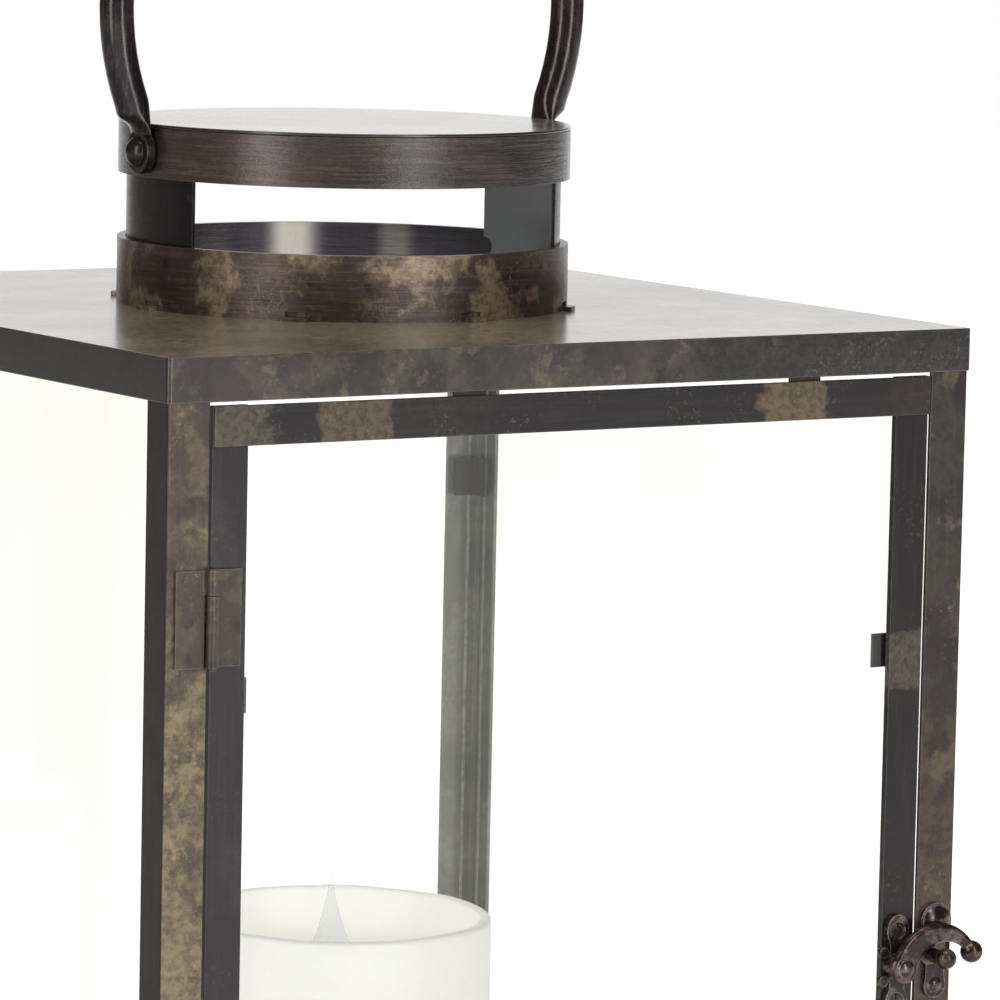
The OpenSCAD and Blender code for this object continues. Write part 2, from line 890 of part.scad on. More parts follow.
// Housing inside the wax, open at the top round the flame and at the bottom for the batteries
module candle_core() {
    color("whitesmoke")
        difference() {
            translate([0, 0, floor_z + 1])
                cylinder(r = core_r, h = core_top - floor_z - 1);
            translate([0, 0, flame_foot - 4])
                cylinder(r = well_r, h = dish_depth + 30);
            translate([0, 0, floor_z])
                cylinder(r = core_r - 2, h = bay_low - floor_z);
            for (s = [-1, 1])
                translate([s * (battery_r + 0.6), 0, bay_low - cut])
                    cylinder(r = battery_r + glass_gap, h = battery_l + cut + glass_gap);
            translate([0, -switch_y, bay_low - cut])
                box([-slot_half - 1, -2.4, 0], [slot_half + 1, 2.4, 4 + cut]);
            translate([0, 0, flame_foot - 14])
                cylinder(r = 6, h = 11);
            for (s = [-1, 1])
                translate([0, s * (well_r - cut), wire_z])
                    rotate([-s * 90, 0, 0])
                        cylinder(r = wire_r, h = 2.5 + cut);
        }
}

module candle_batteries() {
    color("silver")
        for (s = [-1, 1])
            translate([s * (battery_r + 0.6), 0, bay_low]) {
                cylinder(r = battery_r, h = battery_l - 1.5);
                cylinder(r = battery_r * 0.4, h = battery_l);
            }
}

// Cover under the batteries, with a finger notch and a slot for the switch
module battery_cover() {
    color("whitesmoke")
        difference() {
            translate([0, 0, floor_z + 1])
                cylinder(r = core_r - 2 - glass_gap, h = bay_low - floor_z - 1 - seat);
            box([-slot_half, -switch_y - 1.6, floor_z], [slot_half, 1.6 - switch_y, bay_low + cut]);
            translate([0, core_r - 4, floor_z])
                cylinder(r = 4, h = 2);
        }
}

// Slide switch, its knob in the slot of the cover
module switch_knob() {
    color("dimgray")
        translate([-switch_travel / 2, -switch_y, 0]) {
            box([-knob_half, -1.2, floor_z + 0.8], [knob_half, 1.2, bay_low + 0.5]);
            box([-knob_half - 0.7, -1.9, bay_low + 0.3], [knob_half + 0.7, 1.9, bay_low + 2.5]);
        }
}

module drive_coil() {
    color("peru")
        translate([0, 0, flame_foot - 14])
            cylinder(r = 6, h = 8);
}

module flame_wire() {
    color("silver")
        translate([0, -(well_r + 2), wire_z])
            rotate([-90, 0, 0])
                cylinder(r = wire_r, h = 2 * (well_r + 2));
}

// Magnets on the two sides of the flame's foot, which keep it upright and drive it
module flame_magnets() {
    color("silver")
        for (s = [0, 180])
            rotate(s)
                translate([0, flame_t / 2, flame_foot + magnet_r - 1])
                    rotate([-90, 0, 0])
                        cylinder(r = magnet_r, h = magnet_t);
}

// Paddle: a teardrop above the rim of the well, with a foot that hangs below the wire
module flame() {
    half = flame_w / 2;
    belly = candle_top - 9;
    steps = 12;
    tip = 0.35;
    side = [for (i = [0 : steps])
        let (t = i / steps) [tip + (half - tip) * pow(1 - t, 1.7), belly + (flame_tip - belly) * t]];
    color("white", 0.8)
        difference() {
            translate([0, flame_t / 2, 0])
                rotate([90, 0, 0])
                    linear_extrude(flame_t)
                        polygon(concat(
                            [[0, flame_foot], [half * 0.55, flame_foot], [half * 0.55, wire_z + 3]],
                            side,
                            [for (i = [steps : -1 : 0]) [-side[i][0], side[i][1]]],
                            [[-half * 0.55, wire_z + 3], [-half * 0.55, flame_foot]]));
            translate([0, -flame_t, wire_z])
                rotate([-90, 0, 0])
                    cylinder(r = wire_r + run_gap, h = 2 * flame_t);
        }
}

lid();
base_tray();
post_front_left();
post_front_right();
post_back_left();
post_back_right();
pane_left();
pane_right();
pane_back();
pane_clips();
door_stops();
chimney_collar();
chimney_sleeve();
chimney_cap_band();
chimney_cap_disc();
handle_rivets();
bail_handle();
upper_post_leaf();
lower_post_leaf();
hinge_pins();
latch_keeper();
keeper_screws();
door_top_rail();
door_bottom_rail();
door_hinge_stile();
door_latch_stile();
door_glass();
door_glass_clips();
upper_door_leaf();
lower_door_leaf();
latch_plate();
latch_screws();
latch_rivet();
latch_hook();
candle_shell();
candle_core();
candle_batteries();
battery_cover();
drive_coil();
switch_knob();
flame_wire();
flame();
flame_magnets();
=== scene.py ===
# %% [markdown]
# # Candle lantern
# A square lantern of lacquered sheet steel with glass sides, a hinged door, a vented chimney, a
# bail handle and a flameless candle. The construction is loaded first and stays where it is.
# Each cell below then gives a piece its edges, its curves or its finish.

# %% Load the construction
import math
from statistics import NormalDist

import bmesh
import bpy
from mathutils import Matrix, Vector


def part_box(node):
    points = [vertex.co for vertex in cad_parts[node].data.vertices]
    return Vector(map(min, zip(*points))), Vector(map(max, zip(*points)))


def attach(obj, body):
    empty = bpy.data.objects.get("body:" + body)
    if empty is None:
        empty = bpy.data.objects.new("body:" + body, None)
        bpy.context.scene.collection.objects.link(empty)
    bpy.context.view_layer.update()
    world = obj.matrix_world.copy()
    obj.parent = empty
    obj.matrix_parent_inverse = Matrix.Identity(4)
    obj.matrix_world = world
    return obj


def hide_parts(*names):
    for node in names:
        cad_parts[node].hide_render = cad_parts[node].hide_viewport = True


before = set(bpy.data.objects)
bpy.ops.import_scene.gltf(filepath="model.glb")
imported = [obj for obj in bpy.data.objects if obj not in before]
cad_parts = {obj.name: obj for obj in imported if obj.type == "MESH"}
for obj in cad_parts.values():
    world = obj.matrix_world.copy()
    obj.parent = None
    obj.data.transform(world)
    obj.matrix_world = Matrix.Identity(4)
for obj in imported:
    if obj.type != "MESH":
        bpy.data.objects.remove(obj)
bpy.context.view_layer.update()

MM = 0.001

# %% [markdown]
# ## Sizes that the finishes need
# These places are read from the solids, so a pattern stays on its piece when a size changes.
# Lengths are in metres here, and the two that patterns are measured from are in millimetres.

# %% Sizes read from the solids
LID_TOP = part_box("lid")[1].z
RIM_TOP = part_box("candle_shell")[1].z
CANDLE_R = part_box("candle_shell")[1].x
POST_FACE_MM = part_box("post_back_right")[1].x / MM
CLIP_TOP_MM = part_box("pane_clips")[1].z / MM
print("lid at", round(LID_TOP / MM), "mm, candle rim at", round(RIM_TOP / MM), "mm")

# %% [markdown]
# ## Camera
# The camera stands in front of the left post, a little above the lid, and looks slightly down
# with a long lens, so the upper half of the lantern fills the frame. A long lens from far away
# keeps the posts nearly parallel. A camera's own axes are right, up and backwards, so those
# three directions are the columns of its matrix.

# %% Where the camera looks
CAMERA_PLACE = Vector((-0.8469, -1.4160, 0.4781))
CAMERA_TURN = 32.388
CAMERA_DIP = 6.717
CAMERA_ROLL = 1.2014
CAMERA_LENS = 223.175
CAMERA_SENSOR = 36


def camera_matrix(place, turn, dip, roll):
    """Matrix of a camera that looks along +Y, turned to +X, dipped and then rolled, in degrees."""
    turn, dip, roll = math.radians(turn), math.radians(dip), math.radians(roll)
    forward = Vector((math.sin(turn) * math.cos(dip), math.cos(turn) * math.cos(dip),
                      -math.sin(dip)))
    level = Vector((math.cos(turn), -math.sin(turn), 0))
    upward = level.cross(forward)
    right = math.cos(roll) * level + math.sin(roll) * upward
    up = math.cos(roll) * upward - math.sin(roll) * level
    axes = Matrix((right, up, -forward)).transposed()
    return Matrix.Translation(place) @ axes.to_4x4()


print("camera", round(CAMERA_PLACE.length, 2), "m from the middle of the tray")

# %% Camera
camera_data = bpy.data.cameras.new("camera")
camera_data.lens = CAMERA_LENS
camera_data.sensor_width = CAMERA_SENSOR
camera_data.clip_start = 0.05
camera_data.clip_end = 60
camera = bpy.data.objects.new("camera", camera_data)
bpy.context.scene.collection.objects.link(camera)
camera.matrix_world = camera_matrix(CAMERA_PLACE, CAMERA_TURN, CAMERA_DIP, CAMERA_ROLL)
bpy.context.scene.camera = camera
bpy.context.scene.view_settings.view_transform = "Standard"
print("camera at", [round(v, 3) for v in CAMERA_PLACE])

# %% [markdown]
# ## Helpers for materials
# Colours are written as the hex values that a painter picks from a screen, which are not linear,
# so one function turns them linear. The next adds a node, sets its sockets and links it. Some
# nodes have hidden sockets of the same name, so a name is looked up among the shown ones first.

# %% Colours and nodes
WHITE = (1, 1, 1, 1)


def linear(hex_code, alpha=1.0):
    """Linear colour from a #rrggbb value."""
    parts = [int(hex_code[i:i + 2], 16) / 255 for i in (1, 3, 5)]
    return [p / 12.92 if p <= 0.04045 else ((p + 0.055) / 1.055) ** 2.4 for p in parts] + [alpha]


def add(tree, kind, inputs=None, **settings):
    """Adds a shader node. An input is a value, a socket, or a node whose first output feeds it."""
    made = tree.nodes.new("ShaderNode" + kind)
    for name, value in settings.items():
        setattr(made, name, value)
    for key, value in (inputs or {}).items():
        by_name = [i for i in made.inputs if i.enabled and i.name == key]
        into = by_name[0] if by_name else made.inputs[key]
        if isinstance(value, bpy.types.Node):
            value = [o for o in value.outputs if o.enabled][0]
        if isinstance(value, bpy.types.NodeSocket):
            tree.links.new(value, into)
        else:
            into.default_value = value
    return made


def new_material(name):
    """An empty node material, its node tree and its output node."""
    material = bpy.data.materials.new(name)
    material.use_nodes = True
    material.node_tree.nodes.clear()
    return material, material.node_tree, add(material.node_tree, "OutputMaterial")


print("middle grey is", round(linear("#808080")[0], 3), "in linear light")

# %% [markdown]
# ## Light
# A pale studio: two tall softboxes stand left and right of the camera, and a large one hangs
# overhead. Lacquer shows them as soft upright streaks on the round bands. The rest of the light
# comes from the room. The camera and the glass see it as a white sheet. The lacquer sees the
# sheet only behind the lantern, and a dim and slightly warm room on the camera's side.

# %% World
ROOM_GREY = 0.82
SHEET_WHITE = 1.0
DIM_SIDE = 0.08
CEILING = 0.6
WARM_SHADE = "#ffdccb"
# cosine of the angle to the sheet's middle where the sheet begins and where it is full white
SHEET_BEGINS, SHEET_FULL = 0.84, 0.98
# sine of the height where the ceiling begins and where it is full
CEILING_BEGINS, CEILING_FULL = 0.20, 0.80


def make_world():
    """Room for the light, white sheet for the eye and the glass, and both for the lacquer."""
    world = bpy.data.worlds.new("studio")
    bpy.context.scene.world = world
    world.use_nodes = True
    tree = world.node_tree
    tree.nodes.clear()
    path = add(tree, "LightPath")
    place = add(tree, "TexCoord").outputs["Generated"]
    turn = math.radians(CAMERA_TURN)
    # how far a direction points towards the sheet behind the lantern, from -1 to 1
    towards = add(tree, "VectorMath", {0: place, 1: (math.sin(turn), math.cos(turn), 0)},
        operation="DOT_PRODUCT")
    side = add(tree, "MapRange", {"Value": towards, "From Min": SHEET_BEGINS,
        "From Max": SHEET_FULL, "To Min": DIM_SIDE, "To Max": SHEET_WHITE})
    height = add(tree, "SeparateXYZ", {0: place}).outputs["Z"]
    above = add(tree, "MapRange", {"Value": height, "From Min": CEILING_BEGINS,
        "From Max": CEILING_FULL, "To Min": 1.0, "To Max": CEILING})
    seen = add(tree, "Math", {0: side, 1: above}, operation="MULTIPLY")
    mirror = add(tree, "Mix", {"Factor": path.outputs["Is Glossy Ray"], "A": ROOM_GREY, "B": seen})
    # only the dim side is warm, and only in the lacquer
    warmth = add(tree, "MapRange", {"Value": seen, "From Min": DIM_SIDE, "From Max": 0.5,
        "To Min": path.outputs["Is Glossy Ray"], "To Max": 0.0})
    hue = add(tree, "Mix", {"Factor": warmth, "A": WHITE, "B": linear(WARM_SHADE)},
        data_type="RGBA")
    straight = add(tree, "Math", {0: path.outputs["Is Camera Ray"],
        1: path.outputs["Is Transmission Ray"]}, operation="MAXIMUM")
    level = add(tree, "Mix", {"Factor": straight, "A": mirror, "B": SHEET_WHITE})
    background = add(tree, "Background", {"Color": hue, "Strength": level})
    add(tree, "OutputWorld", {"Surface": background})


make_world()
print("world: room", ROOM_GREY, "and sheet", SHEET_WHITE)

# %% Softboxes
SOFTBOX_DISTANCE = 1.5
SOFTBOX_SIZE = (0.34, 1.3)
SOFTBOX_AZIMUTH = 38
SOFTBOX_RISE = 0.25
LEFT_WATTS = 5.95
RIGHT_WATTS = 7.0
OVERHEAD_SIZE = (0.9, 0.9)
OVERHEAD_RISE = 6.0
OVERHEAD_WATTS = 6.0


def softbox(name, azimuth, rise, size, watts):
    """Area lamp at an azimuth from the camera's side, looking at the chimney."""
    data = bpy.data.lights.new(name, "AREA")
    data.shape = "RECTANGLE"
    data.size, data.size_y = size
    data.energy = watts
    lamp = bpy.data.objects.new(name, data)
    bpy.context.scene.collection.objects.link(lamp)
    turn = math.radians(CAMERA_TURN + azimuth)
    away = Vector((-math.sin(turn), -math.cos(turn), rise)).normalized()
    lamp.location = Vector((0, 0, LID_TOP)) + away * SOFTBOX_DISTANCE
    lamp.rotation_euler = away.to_track_quat("Z", "Y").to_euler()
    return lamp


LAMPS = [
    softbox("softbox_left", SOFTBOX_AZIMUTH, SOFTBOX_RISE, SOFTBOX_SIZE, LEFT_WATTS),
    softbox("softbox_right", -SOFTBOX_AZIMUTH, SOFTBOX_RISE, SOFTBOX_SIZE, RIGHT_WATTS),
    softbox("softbox_top", 0, OVERHEAD_RISE, OVERHEAD_SIZE, OVERHEAD_WATTS),
]
print("lamps:", [(lamp.name, round(lamp.data.energy, 2)) for lamp in LAMPS])

# %% [markdown]
# ## Floor
# A wide pale board under the lantern. For the light it is an ordinary white board that takes
# the lantern's shadow, and the camera sees it lifted by a glow so that it meets the sheet. The
# glass and the lacquer see it as the sheet itself, but the lacquer sees the part to the left of
# the lantern in shade, which keeps the left walls dark.

# %% The board's material
BOARD_WHITE = "#f2f2f0"
FLOOR_GLOW = 0.5
LEFT_SHADE = 0.4
# cosine of the angle to the left where the shade begins and where it is full
SHADE_BEGINS, SHADE_FULL = 0.3, 0.8


def board_seen_in_lacquer(tree, path):
    """Brightness of the board for the rays that mirror it."""
    place = add(tree, "TexCoord").outputs["Object"]
    outward = add(tree, "VectorMath", {0: place}, operation="NORMALIZE")
    turn = math.radians(CAMERA_TURN)
    leftward = add(tree, "VectorMath", {0: outward, 1: (-math.cos(turn), math.sin(turn), 0)},
        operation="DOT_PRODUCT")
    shade = add(tree, "MapRange", {"Value": leftward, "From Min": SHADE_BEGINS,
        "From Max": SHADE_FULL, "To Min": 0.0, "To Max": 1 - LEFT_SHADE})
    lost = add(tree, "Math", {0: shade, 1: path.outputs["Is Glossy Ray"]}, operation="MULTIPLY")
    return add(tree, "Math", {0: SHEET_WHITE, 1: lost}, operation="SUBTRACT")


def make_board_material():
    """White board with a faint glow for the camera, and the sheet's white in reflections."""
    material, tree, out = new_material("white board")
    path = add(tree, "LightPath")
    matt = add(tree, "BsdfDiffuse", {"Color": linear(BOARD_WHITE)})
    glow_level = add(tree, "Math", {0: path.outputs["Is Camera Ray"], 1: FLOOR_GLOW},
        operation="MULTIPLY")
    glow = add(tree, "Emission", {"Color": WHITE, "Strength": glow_level})
    lit = add(tree, "AddShader", {0: matt, 1: glow})
    mirrored = add(tree, "Emission", {"Color": WHITE,
        "Strength": board_seen_in_lacquer(tree, path)})
    indirect = add(tree, "Math", {0: path.outputs["Is Glossy Ray"],
        1: path.outputs["Is Transmission Ray"]}, operation="MAXIMUM")
    shown = add(tree, "MixShader", {0: indirect, 1: lit, 2: mirrored})
    tree.links.new(shown.outputs[0], out.inputs["Surface"])
    return material


print("board glow", FLOOR_GLOW, "and shade on the left", LEFT_SHADE)

# %% Floor
FLOOR_SIZE = 8.0
FLOOR_DROP = 0.2 * MM


def make_floor():
    """A flat square just below the tray, so that the two never lie in one plane."""
    shape = bmesh.new()
    bmesh.ops.create_grid(shape, x_segments=1, y_segments=1, size=FLOOR_SIZE / 2)
    mesh = bpy.data.meshes.new("floor")
    shape.to_mesh(mesh)
    shape.free()
    mesh.materials.append(make_board_material())
    floor = bpy.data.objects.new("floor", mesh)
    bpy.context.scene.collection.objects.link(floor)
    floor.location.z = -FLOOR_DROP


make_floor()
print("floor", FLOOR_SIZE, "m wide")

# %% [markdown]
# ## Lacquered steel
# The case is mild steel sheet and angle, dipped in a nearly black lacquer, rubbed back in places
# and waxed with olive and tan patina. To the eye that is a dark umber ground, cool where the
# lacquer is thick and brown where it is thin, with cloudy olive patches, a few tan flecks and
# pale worn edges. The wax is a clear coat: almost nothing shows in it from the front, and at a
# glancing look it takes the white of the room, so flat tops turn pale, helped by a painted sheen.
#
# A picture of rust could be wrapped round the pieces, but it would have seams at every edge. A
# recipe of noise patterns on Object coordinates has none, and runs on from face to face. Every
# finish uses the same recipe, one function to a step, and differs only in what is laid on. The
# object that is passed from step to step holds the colour so far and the patterns they share.

# %% Ground of a lacquered finish
CLOUD_MM = 45
MOTTLE_MM = 2.2


class Steel:
    """A finish in the making: its node tree, its shared patterns and its colour so far."""


def lay_ground(name, cool, warm, shift):
    """Cool and warm clouds of lacquer, and the mottle that thins every layer above them."""
    steel = Steel()
    steel.material, steel.tree, steel.out = new_material(name)
    steel.place = add(steel.tree, "TexCoord").outputs["Object"]
    steel.along = add(steel.tree, "SeparateXYZ", {0: steel.place})
    steel.facing = add(steel.tree, "NewGeometry").outputs["Normal"]
    steel.clouds = add(steel.tree, "TexNoise", {"Vector": steel.place, "W": shift,
        "Scale": 1 / (CLOUD_MM * MM), "Detail": 4.0}, noise_dimensions="4D")
    steel.cloud_mask = add(steel.tree, "MapRange", {"Value": steel.clouds, "From Min": 0.40,
        "From Max": 0.60}, interpolation_type="SMOOTHSTEP")
    steel.colour = add(steel.tree, "Mix", {"Factor": steel.cloud_mask, "A": linear(cool),
        "B": linear(warm)}, data_type="RGBA")
    steel.mottle = add(steel.tree, "TexNoise", {"Vector": steel.place, "Detail": 6.0,
        "Scale": 1 / (MOTTLE_MM * MM), "Roughness": 0.75})
    steel.mottled = add(steel.tree, "MapRange", {"Value": steel.mottle, "From Min": 0.36,
        "From Max": 0.60, "To Min": 0.35}, interpolation_type="SMOOTHSTEP")
    return steel


def lay(steel, shade, amount, share):
    """Covers the colour so far with a shade, by an amount of which only a share holds."""
    mask = add(steel.tree, "Math", {0: amount, 1: share}, operation="MULTIPLY")
    steel.colour = add(steel.tree, "Mix", {"Factor": mask, "A": steel.colour, "B": linear(shade)},
        data_type="RGBA")


print("clouds of", CLOUD_MM, "mm and mottle of", MOTTLE_MM, "mm")

# %% [markdown]
# ## Rubbed wax
# The wax went on with a cloth. Most of it lies anywhere, in patches whose share of the surface
# is what the eye judges, so each layer states that share, and the level at which noise must be
# cut follows from how noise spreads. Some patches are at a known spot, between two heights or
# two sides, and their borders wander by a few millimetres, as a hand does.

# %% Wax anywhere, and wax at a known spot
NOISE_SPREAD = 0.085
LAYER_STEP = 3.7
WANDER_MM = 9
WANDER = 2.2


def level_for(cover):
    """Level that noise exceeds on about this share of a surface."""
    return 0.5 + NOISE_SPREAD * NormalDist().inv_cdf(1 - cover)


def rub_wax(steel, rubbed, shift):
    """Layers of wax: shade, patch width in mm, share covered, softness of border, strength."""
    for number, (shade, patch_mm, cover, softness, strength) in enumerate(rubbed):
        patches = add(steel.tree, "TexNoise", {"Vector": steel.place, "Detail": 6.0,
            "W": shift + LAYER_STEP * (number + 1), "Scale": 1 / (patch_mm * MM),
            "Roughness": 0.6}, noise_dimensions="4D")
        middle = level_for(cover)
        patch = add(steel.tree, "MapRange", {"Value": patches, "From Min": middle - softness,
            "From Max": middle + softness, "To Max": strength}, interpolation_type="SMOOTHSTEP")
        lay(steel, shade, patch, steel.mottled)


def rub_spots(steel, places):
    """Patches: shade, axis, lowest and highest place, softness of border in mm, strength."""
    wander = add(steel.tree, "TexNoise", {"Vector": steel.place, "Detail": 6.0,
        "Scale": 1 / (WANDER_MM * MM), "Roughness": 0.65})
    offset = add(steel.tree, "MapRange", {"Value": wander, "From Min": 0.3, "From Max": 0.7,
        "To Min": -1.0})
    for shade, axis, low_mm, high_mm, soft_mm, strength in places:
        spot = add(steel.tree, "Math", {0: offset, 1: WANDER * soft_mm * MM,
            2: steel.along.outputs[axis]}, operation="MULTIPLY_ADD")
        rise = add(steel.tree, "MapRange", {"Value": spot, "From Min": (low_mm - soft_mm) * MM,
            "From Max": (low_mm + soft_mm) * MM, "To Max": strength},
            interpolation_type="SMOOTHSTEP")
        fall = add(steel.tree, "MapRange", {"Value": spot, "From Min": (high_mm + soft_mm) * MM,
            "From Max": (high_mm - soft_mm) * MM}, interpolation_type="SMOOTHSTEP")
        patch = add(steel.tree, "Math", {0: rise, 1: fall}, operation="MULTIPLY")
        lay(steel, shade, patch, steel.mottled)


print("noise passes", round(level_for(0.25), 3), "on a quarter of a surface")

# %% [markdown]
# ## Flecks and brushing
# Tan flecks are what is left where the cloth skipped, gathered in fields. Brushing is what the
# wire wheel left before the lacquer: fine lines along a sheet or up a rod. They are noise that
# is stretched one way. Even where no line shows as a colour, they make the gloss uneven.

# %% Flecks and brush lines
FLECK_MM = 1.4
FIELD_MM = 20
FIELD_SHIFT = 1.9
FLECK_TAN = "#a8906a"
LINE_MM = 1.1
STREAK = 24
STEEL_LINE = "#857b72"


def scatter_flecks(steel, strength, shift):
    """Flecks of tan wax, gathered in fields."""
    specks = add(steel.tree, "TexNoise", {"Vector": steel.place, "Detail": 4.0,
        "Scale": 1 / (FLECK_MM * MM), "Roughness": 0.75})
    speck = add(steel.tree, "MapRange", {"Value": specks, "From Min": 0.54, "From Max": 0.66},
        interpolation_type="SMOOTHSTEP")
    fields = add(steel.tree, "TexNoise", {"Vector": steel.place, "W": shift + FIELD_SHIFT,
        "Scale": 1 / (FIELD_MM * MM), "Detail": 3.0}, noise_dimensions="4D")
    field = add(steel.tree, "MapRange", {"Value": fields, "From Min": 0.48, "From Max": 0.62,
        "To Max": strength}, interpolation_type="SMOOTHSTEP")
    lay(steel, FLECK_TAN, speck, field)


def brush(steel, strength, upright):
    """Lines that are drawn out level or upright, and shown in the colour by a strength."""
    stretch = (1, 1, 1 / STREAK) if upright else (1 / STREAK, 1 / STREAK, 1)
    drawn = add(steel.tree, "Mapping", {"Vector": steel.place, "Scale": stretch})
    steel.lines = add(steel.tree, "TexNoise", {"Vector": drawn, "Scale": 1 / (LINE_MM * MM),
        "Detail": 5.0, "Roughness": 0.7})
    if strength:
        line = add(steel.tree, "MapRange", {"Value": steel.lines, "From Min": 0.46,
            "From Max": 0.68, "To Max": strength}, interpolation_type="SMOOTHSTEP")
        lay(steel, STEEL_LINE, line, steel.mottled)


print("brush lines", LINE_MM, "mm wide and", round(LINE_MM * STREAK), "mm long")

# %% [markdown]
# ## Sides and tops
# A face's direction tells which side of the lantern it is on. Left faces get painted shade and
# stay dark. The rear posts' grey green is a painted reflection, and their outward faces get the
# lacquer's own clouds. Level tops get a painted sheen, so they are paler.

# %% Painted shade and sheen that belong to a direction
PAINTED_LEFT_SHADE = "#1d1412"
OUTER_DEPTH = 20 * MM
TOP_SHEEN_STRENGTH = 0.8


def paint_left_shade(steel, strength):
    """Painted shade on every face that looks to the left."""
    outward = add(steel.tree, "SeparateXYZ", {0: steel.facing})
    mask = add(steel.tree, "MapRange", {"Value": outward, "From Min": -0.5, "From Max": -0.9,
        "To Max": strength})
    steel.colour = add(steel.tree, "Mix", {"Factor": mask, "A": steel.colour,
        "B": linear(PAINTED_LEFT_SHADE)}, data_type="RGBA")


def cover_outside(steel, cool, warm):
    """Cool and warm clouds on the faces that look away from the lantern's axis."""
    outward = add(steel.tree, "VectorMath", {0: steel.place, 1: steel.facing},
        operation="DOT_PRODUCT")
    outer = add(steel.tree, "MapRange", {"Value": outward, "From Max": OUTER_DEPTH})
    cover = add(steel.tree, "Mix", {"Factor": steel.cloud_mask, "A": linear(cool),
        "B": linear(warm)}, data_type="RGBA")
    steel.colour = add(steel.tree, "Mix", {"Factor": outer, "A": steel.colour, "B": cover},
        data_type="RGBA")


def paint_top_sheen(steel, shade):
    """Painted sheen on level tops, thinner in some clouds."""
    upward = add(steel.tree, "SeparateXYZ", {0: steel.facing}).outputs["Z"]
    level = add(steel.tree, "MapRange", {"Value": upward, "From Min": 0.7, "From Max": 0.95,
        "To Max": TOP_SHEEN_STRENGTH})
    thinner = add(steel.tree, "MapRange", {"Value": steel.clouds, "From Min": 0.38,
        "From Max": 0.62, "To Min": 0.6}, interpolation_type="SMOOTHSTEP")
    painted_sheen = add(steel.tree, "Math", {0: level, 1: thinner}, operation="MULTIPLY")
    lay(steel, shade, painted_sheen, steel.mottled)


print("left side darkened to", PAINTED_LEFT_SHADE)

# %% [markdown]
# ## Bare insides and worn edges
# A rolled band was lacquered outside only. Inside it is bare grey steel, with painted highlights
# at given places. Outer edges are where hands and cloths rub lacquer off. A line painted along
# each edge would be too even, so the edge is found with a rounded normal: where it leaves the
# true one, the surface turns, and the steel shows through the mottle.

# %% Bare metal inside a band with painted highlights, and worn edges
INSIDE_BEGINS, INSIDE_FULL = 4 * MM, 12 * MM
HIGHLIGHT_CORE = 0.2
HIGHLIGHT_FALL = 2.2
WORN_WIDTH = 0.45 * MM


def bare_inside(steel, ground, painted_highlight, highlight_spots, metal, metallic):
    """Unlacquered faces towards the axis, with painted highlights: a place, a half width, a
    strength.
    """
    outward = add(steel.tree, "VectorMath", {0: steel.place, 1: steel.facing},
        operation="DOT_PRODUCT")
    steel.inner = add(steel.tree, "MapRange", {"Value": outward, "From Min": -INSIDE_BEGINS,
        "From Max": -INSIDE_FULL})
    steel.colour = add(steel.tree, "Mix", {"Factor": steel.inner, "A": steel.colour,
        "B": linear(ground)}, data_type="RGBA")
    for middle_mm, half_mm, strength in highlight_spots:
        aside = add(steel.tree, "Math", {0: steel.along.outputs["X"], 1: -middle_mm * MM},
            operation="ADD")
        distance = add(steel.tree, "Math", {0: aside}, operation="ABSOLUTE")
        near = add(steel.tree, "MapRange", {"Value": distance, "From Min": half_mm * MM,
            "From Max": HIGHLIGHT_CORE * half_mm * MM, "To Max": strength},
            interpolation_type="SMOOTHSTEP")
        painted_glint = add(steel.tree, "Math", {0: near, 1: HIGHLIGHT_FALL}, operation="POWER")
        lay(steel, painted_highlight, painted_glint, steel.inner)
    steel.metallic = add(steel.tree, "MapRange", {"Value": steel.inner, "To Min": metallic,
        "To Max": metal})


def wear_edges(steel, shade, strength):
    """Steel that shows where the surface turns."""
    rounded = add(steel.tree, "Bevel", {"Radius": WORN_WIDTH}, samples=4)
    same = add(steel.tree, "VectorMath", {0: rounded, 1: steel.facing}, operation="DOT_PRODUCT")
    worn = add(steel.tree, "MapRange", {"Value": same, "From Min": 0.995, "From Max": 0.90,
        "To Max": strength}, interpolation_type="SMOOTHSTEP")
    lay(steel, shade, worn, steel.mottled)


print("edges are worn over", WORN_WIDTH / MM, "mm")

# %% [markdown]
# ## Gloss and relief
# The mottle and the brush lines make the gloss uneven, and together with shallow dents, as
# wide as the clouds, they make the relief. The clear coat takes the same relief as the steel,
# because a smooth coat over it would mirror the softboxes as hard bright bars.

# %% The surface, and the whole recipe
BARE_ROUGHNESS = 0.36
DENT_SHARE = 3.0
RELIEF_DEPTH = 0.5 * MM
COAT_ROUGHNESS = 0.16
COAT_IOR = 1.5


def close_surface(steel, roughness, relief_strength, coat):
    """Uneven gloss, brush lines, a fine grain and shallow dents under a clear coat."""
    uneven = add(steel.tree, "Mix", {"Factor": 0.5, "A": steel.mottle, "B": steel.lines})
    rough = add(steel.tree, "MapRange", {"Value": uneven, "From Min": 0.35, "From Max": 0.65,
        "To Min": roughness - 0.08, "To Max": roughness + 0.10})
    relief = add(steel.tree, "Math", {0: steel.clouds, 1: DENT_SHARE, 2: uneven},
        operation="MULTIPLY_ADD")
    bump = add(steel.tree, "Bump", {"Strength": relief_strength, "Distance": RELIEF_DEPTH,
        "Height": relief})
    if steel.inner is not None:
        rough = add(steel.tree, "Mix", {"Factor": steel.inner, "A": rough, "B": BARE_ROUGHNESS})
    surface = add(steel.tree, "BsdfPrincipled", {"Base Color": steel.colour,
        "Metallic": steel.metallic, "Roughness": rough, "Normal": bump, "Coat Weight": coat,
        "Coat Roughness": COAT_ROUGHNESS, "Coat IOR": COAT_IOR, "Coat Normal": bump})
    steel.tree.links.new(surface.outputs[0], steel.out.inputs["Surface"])


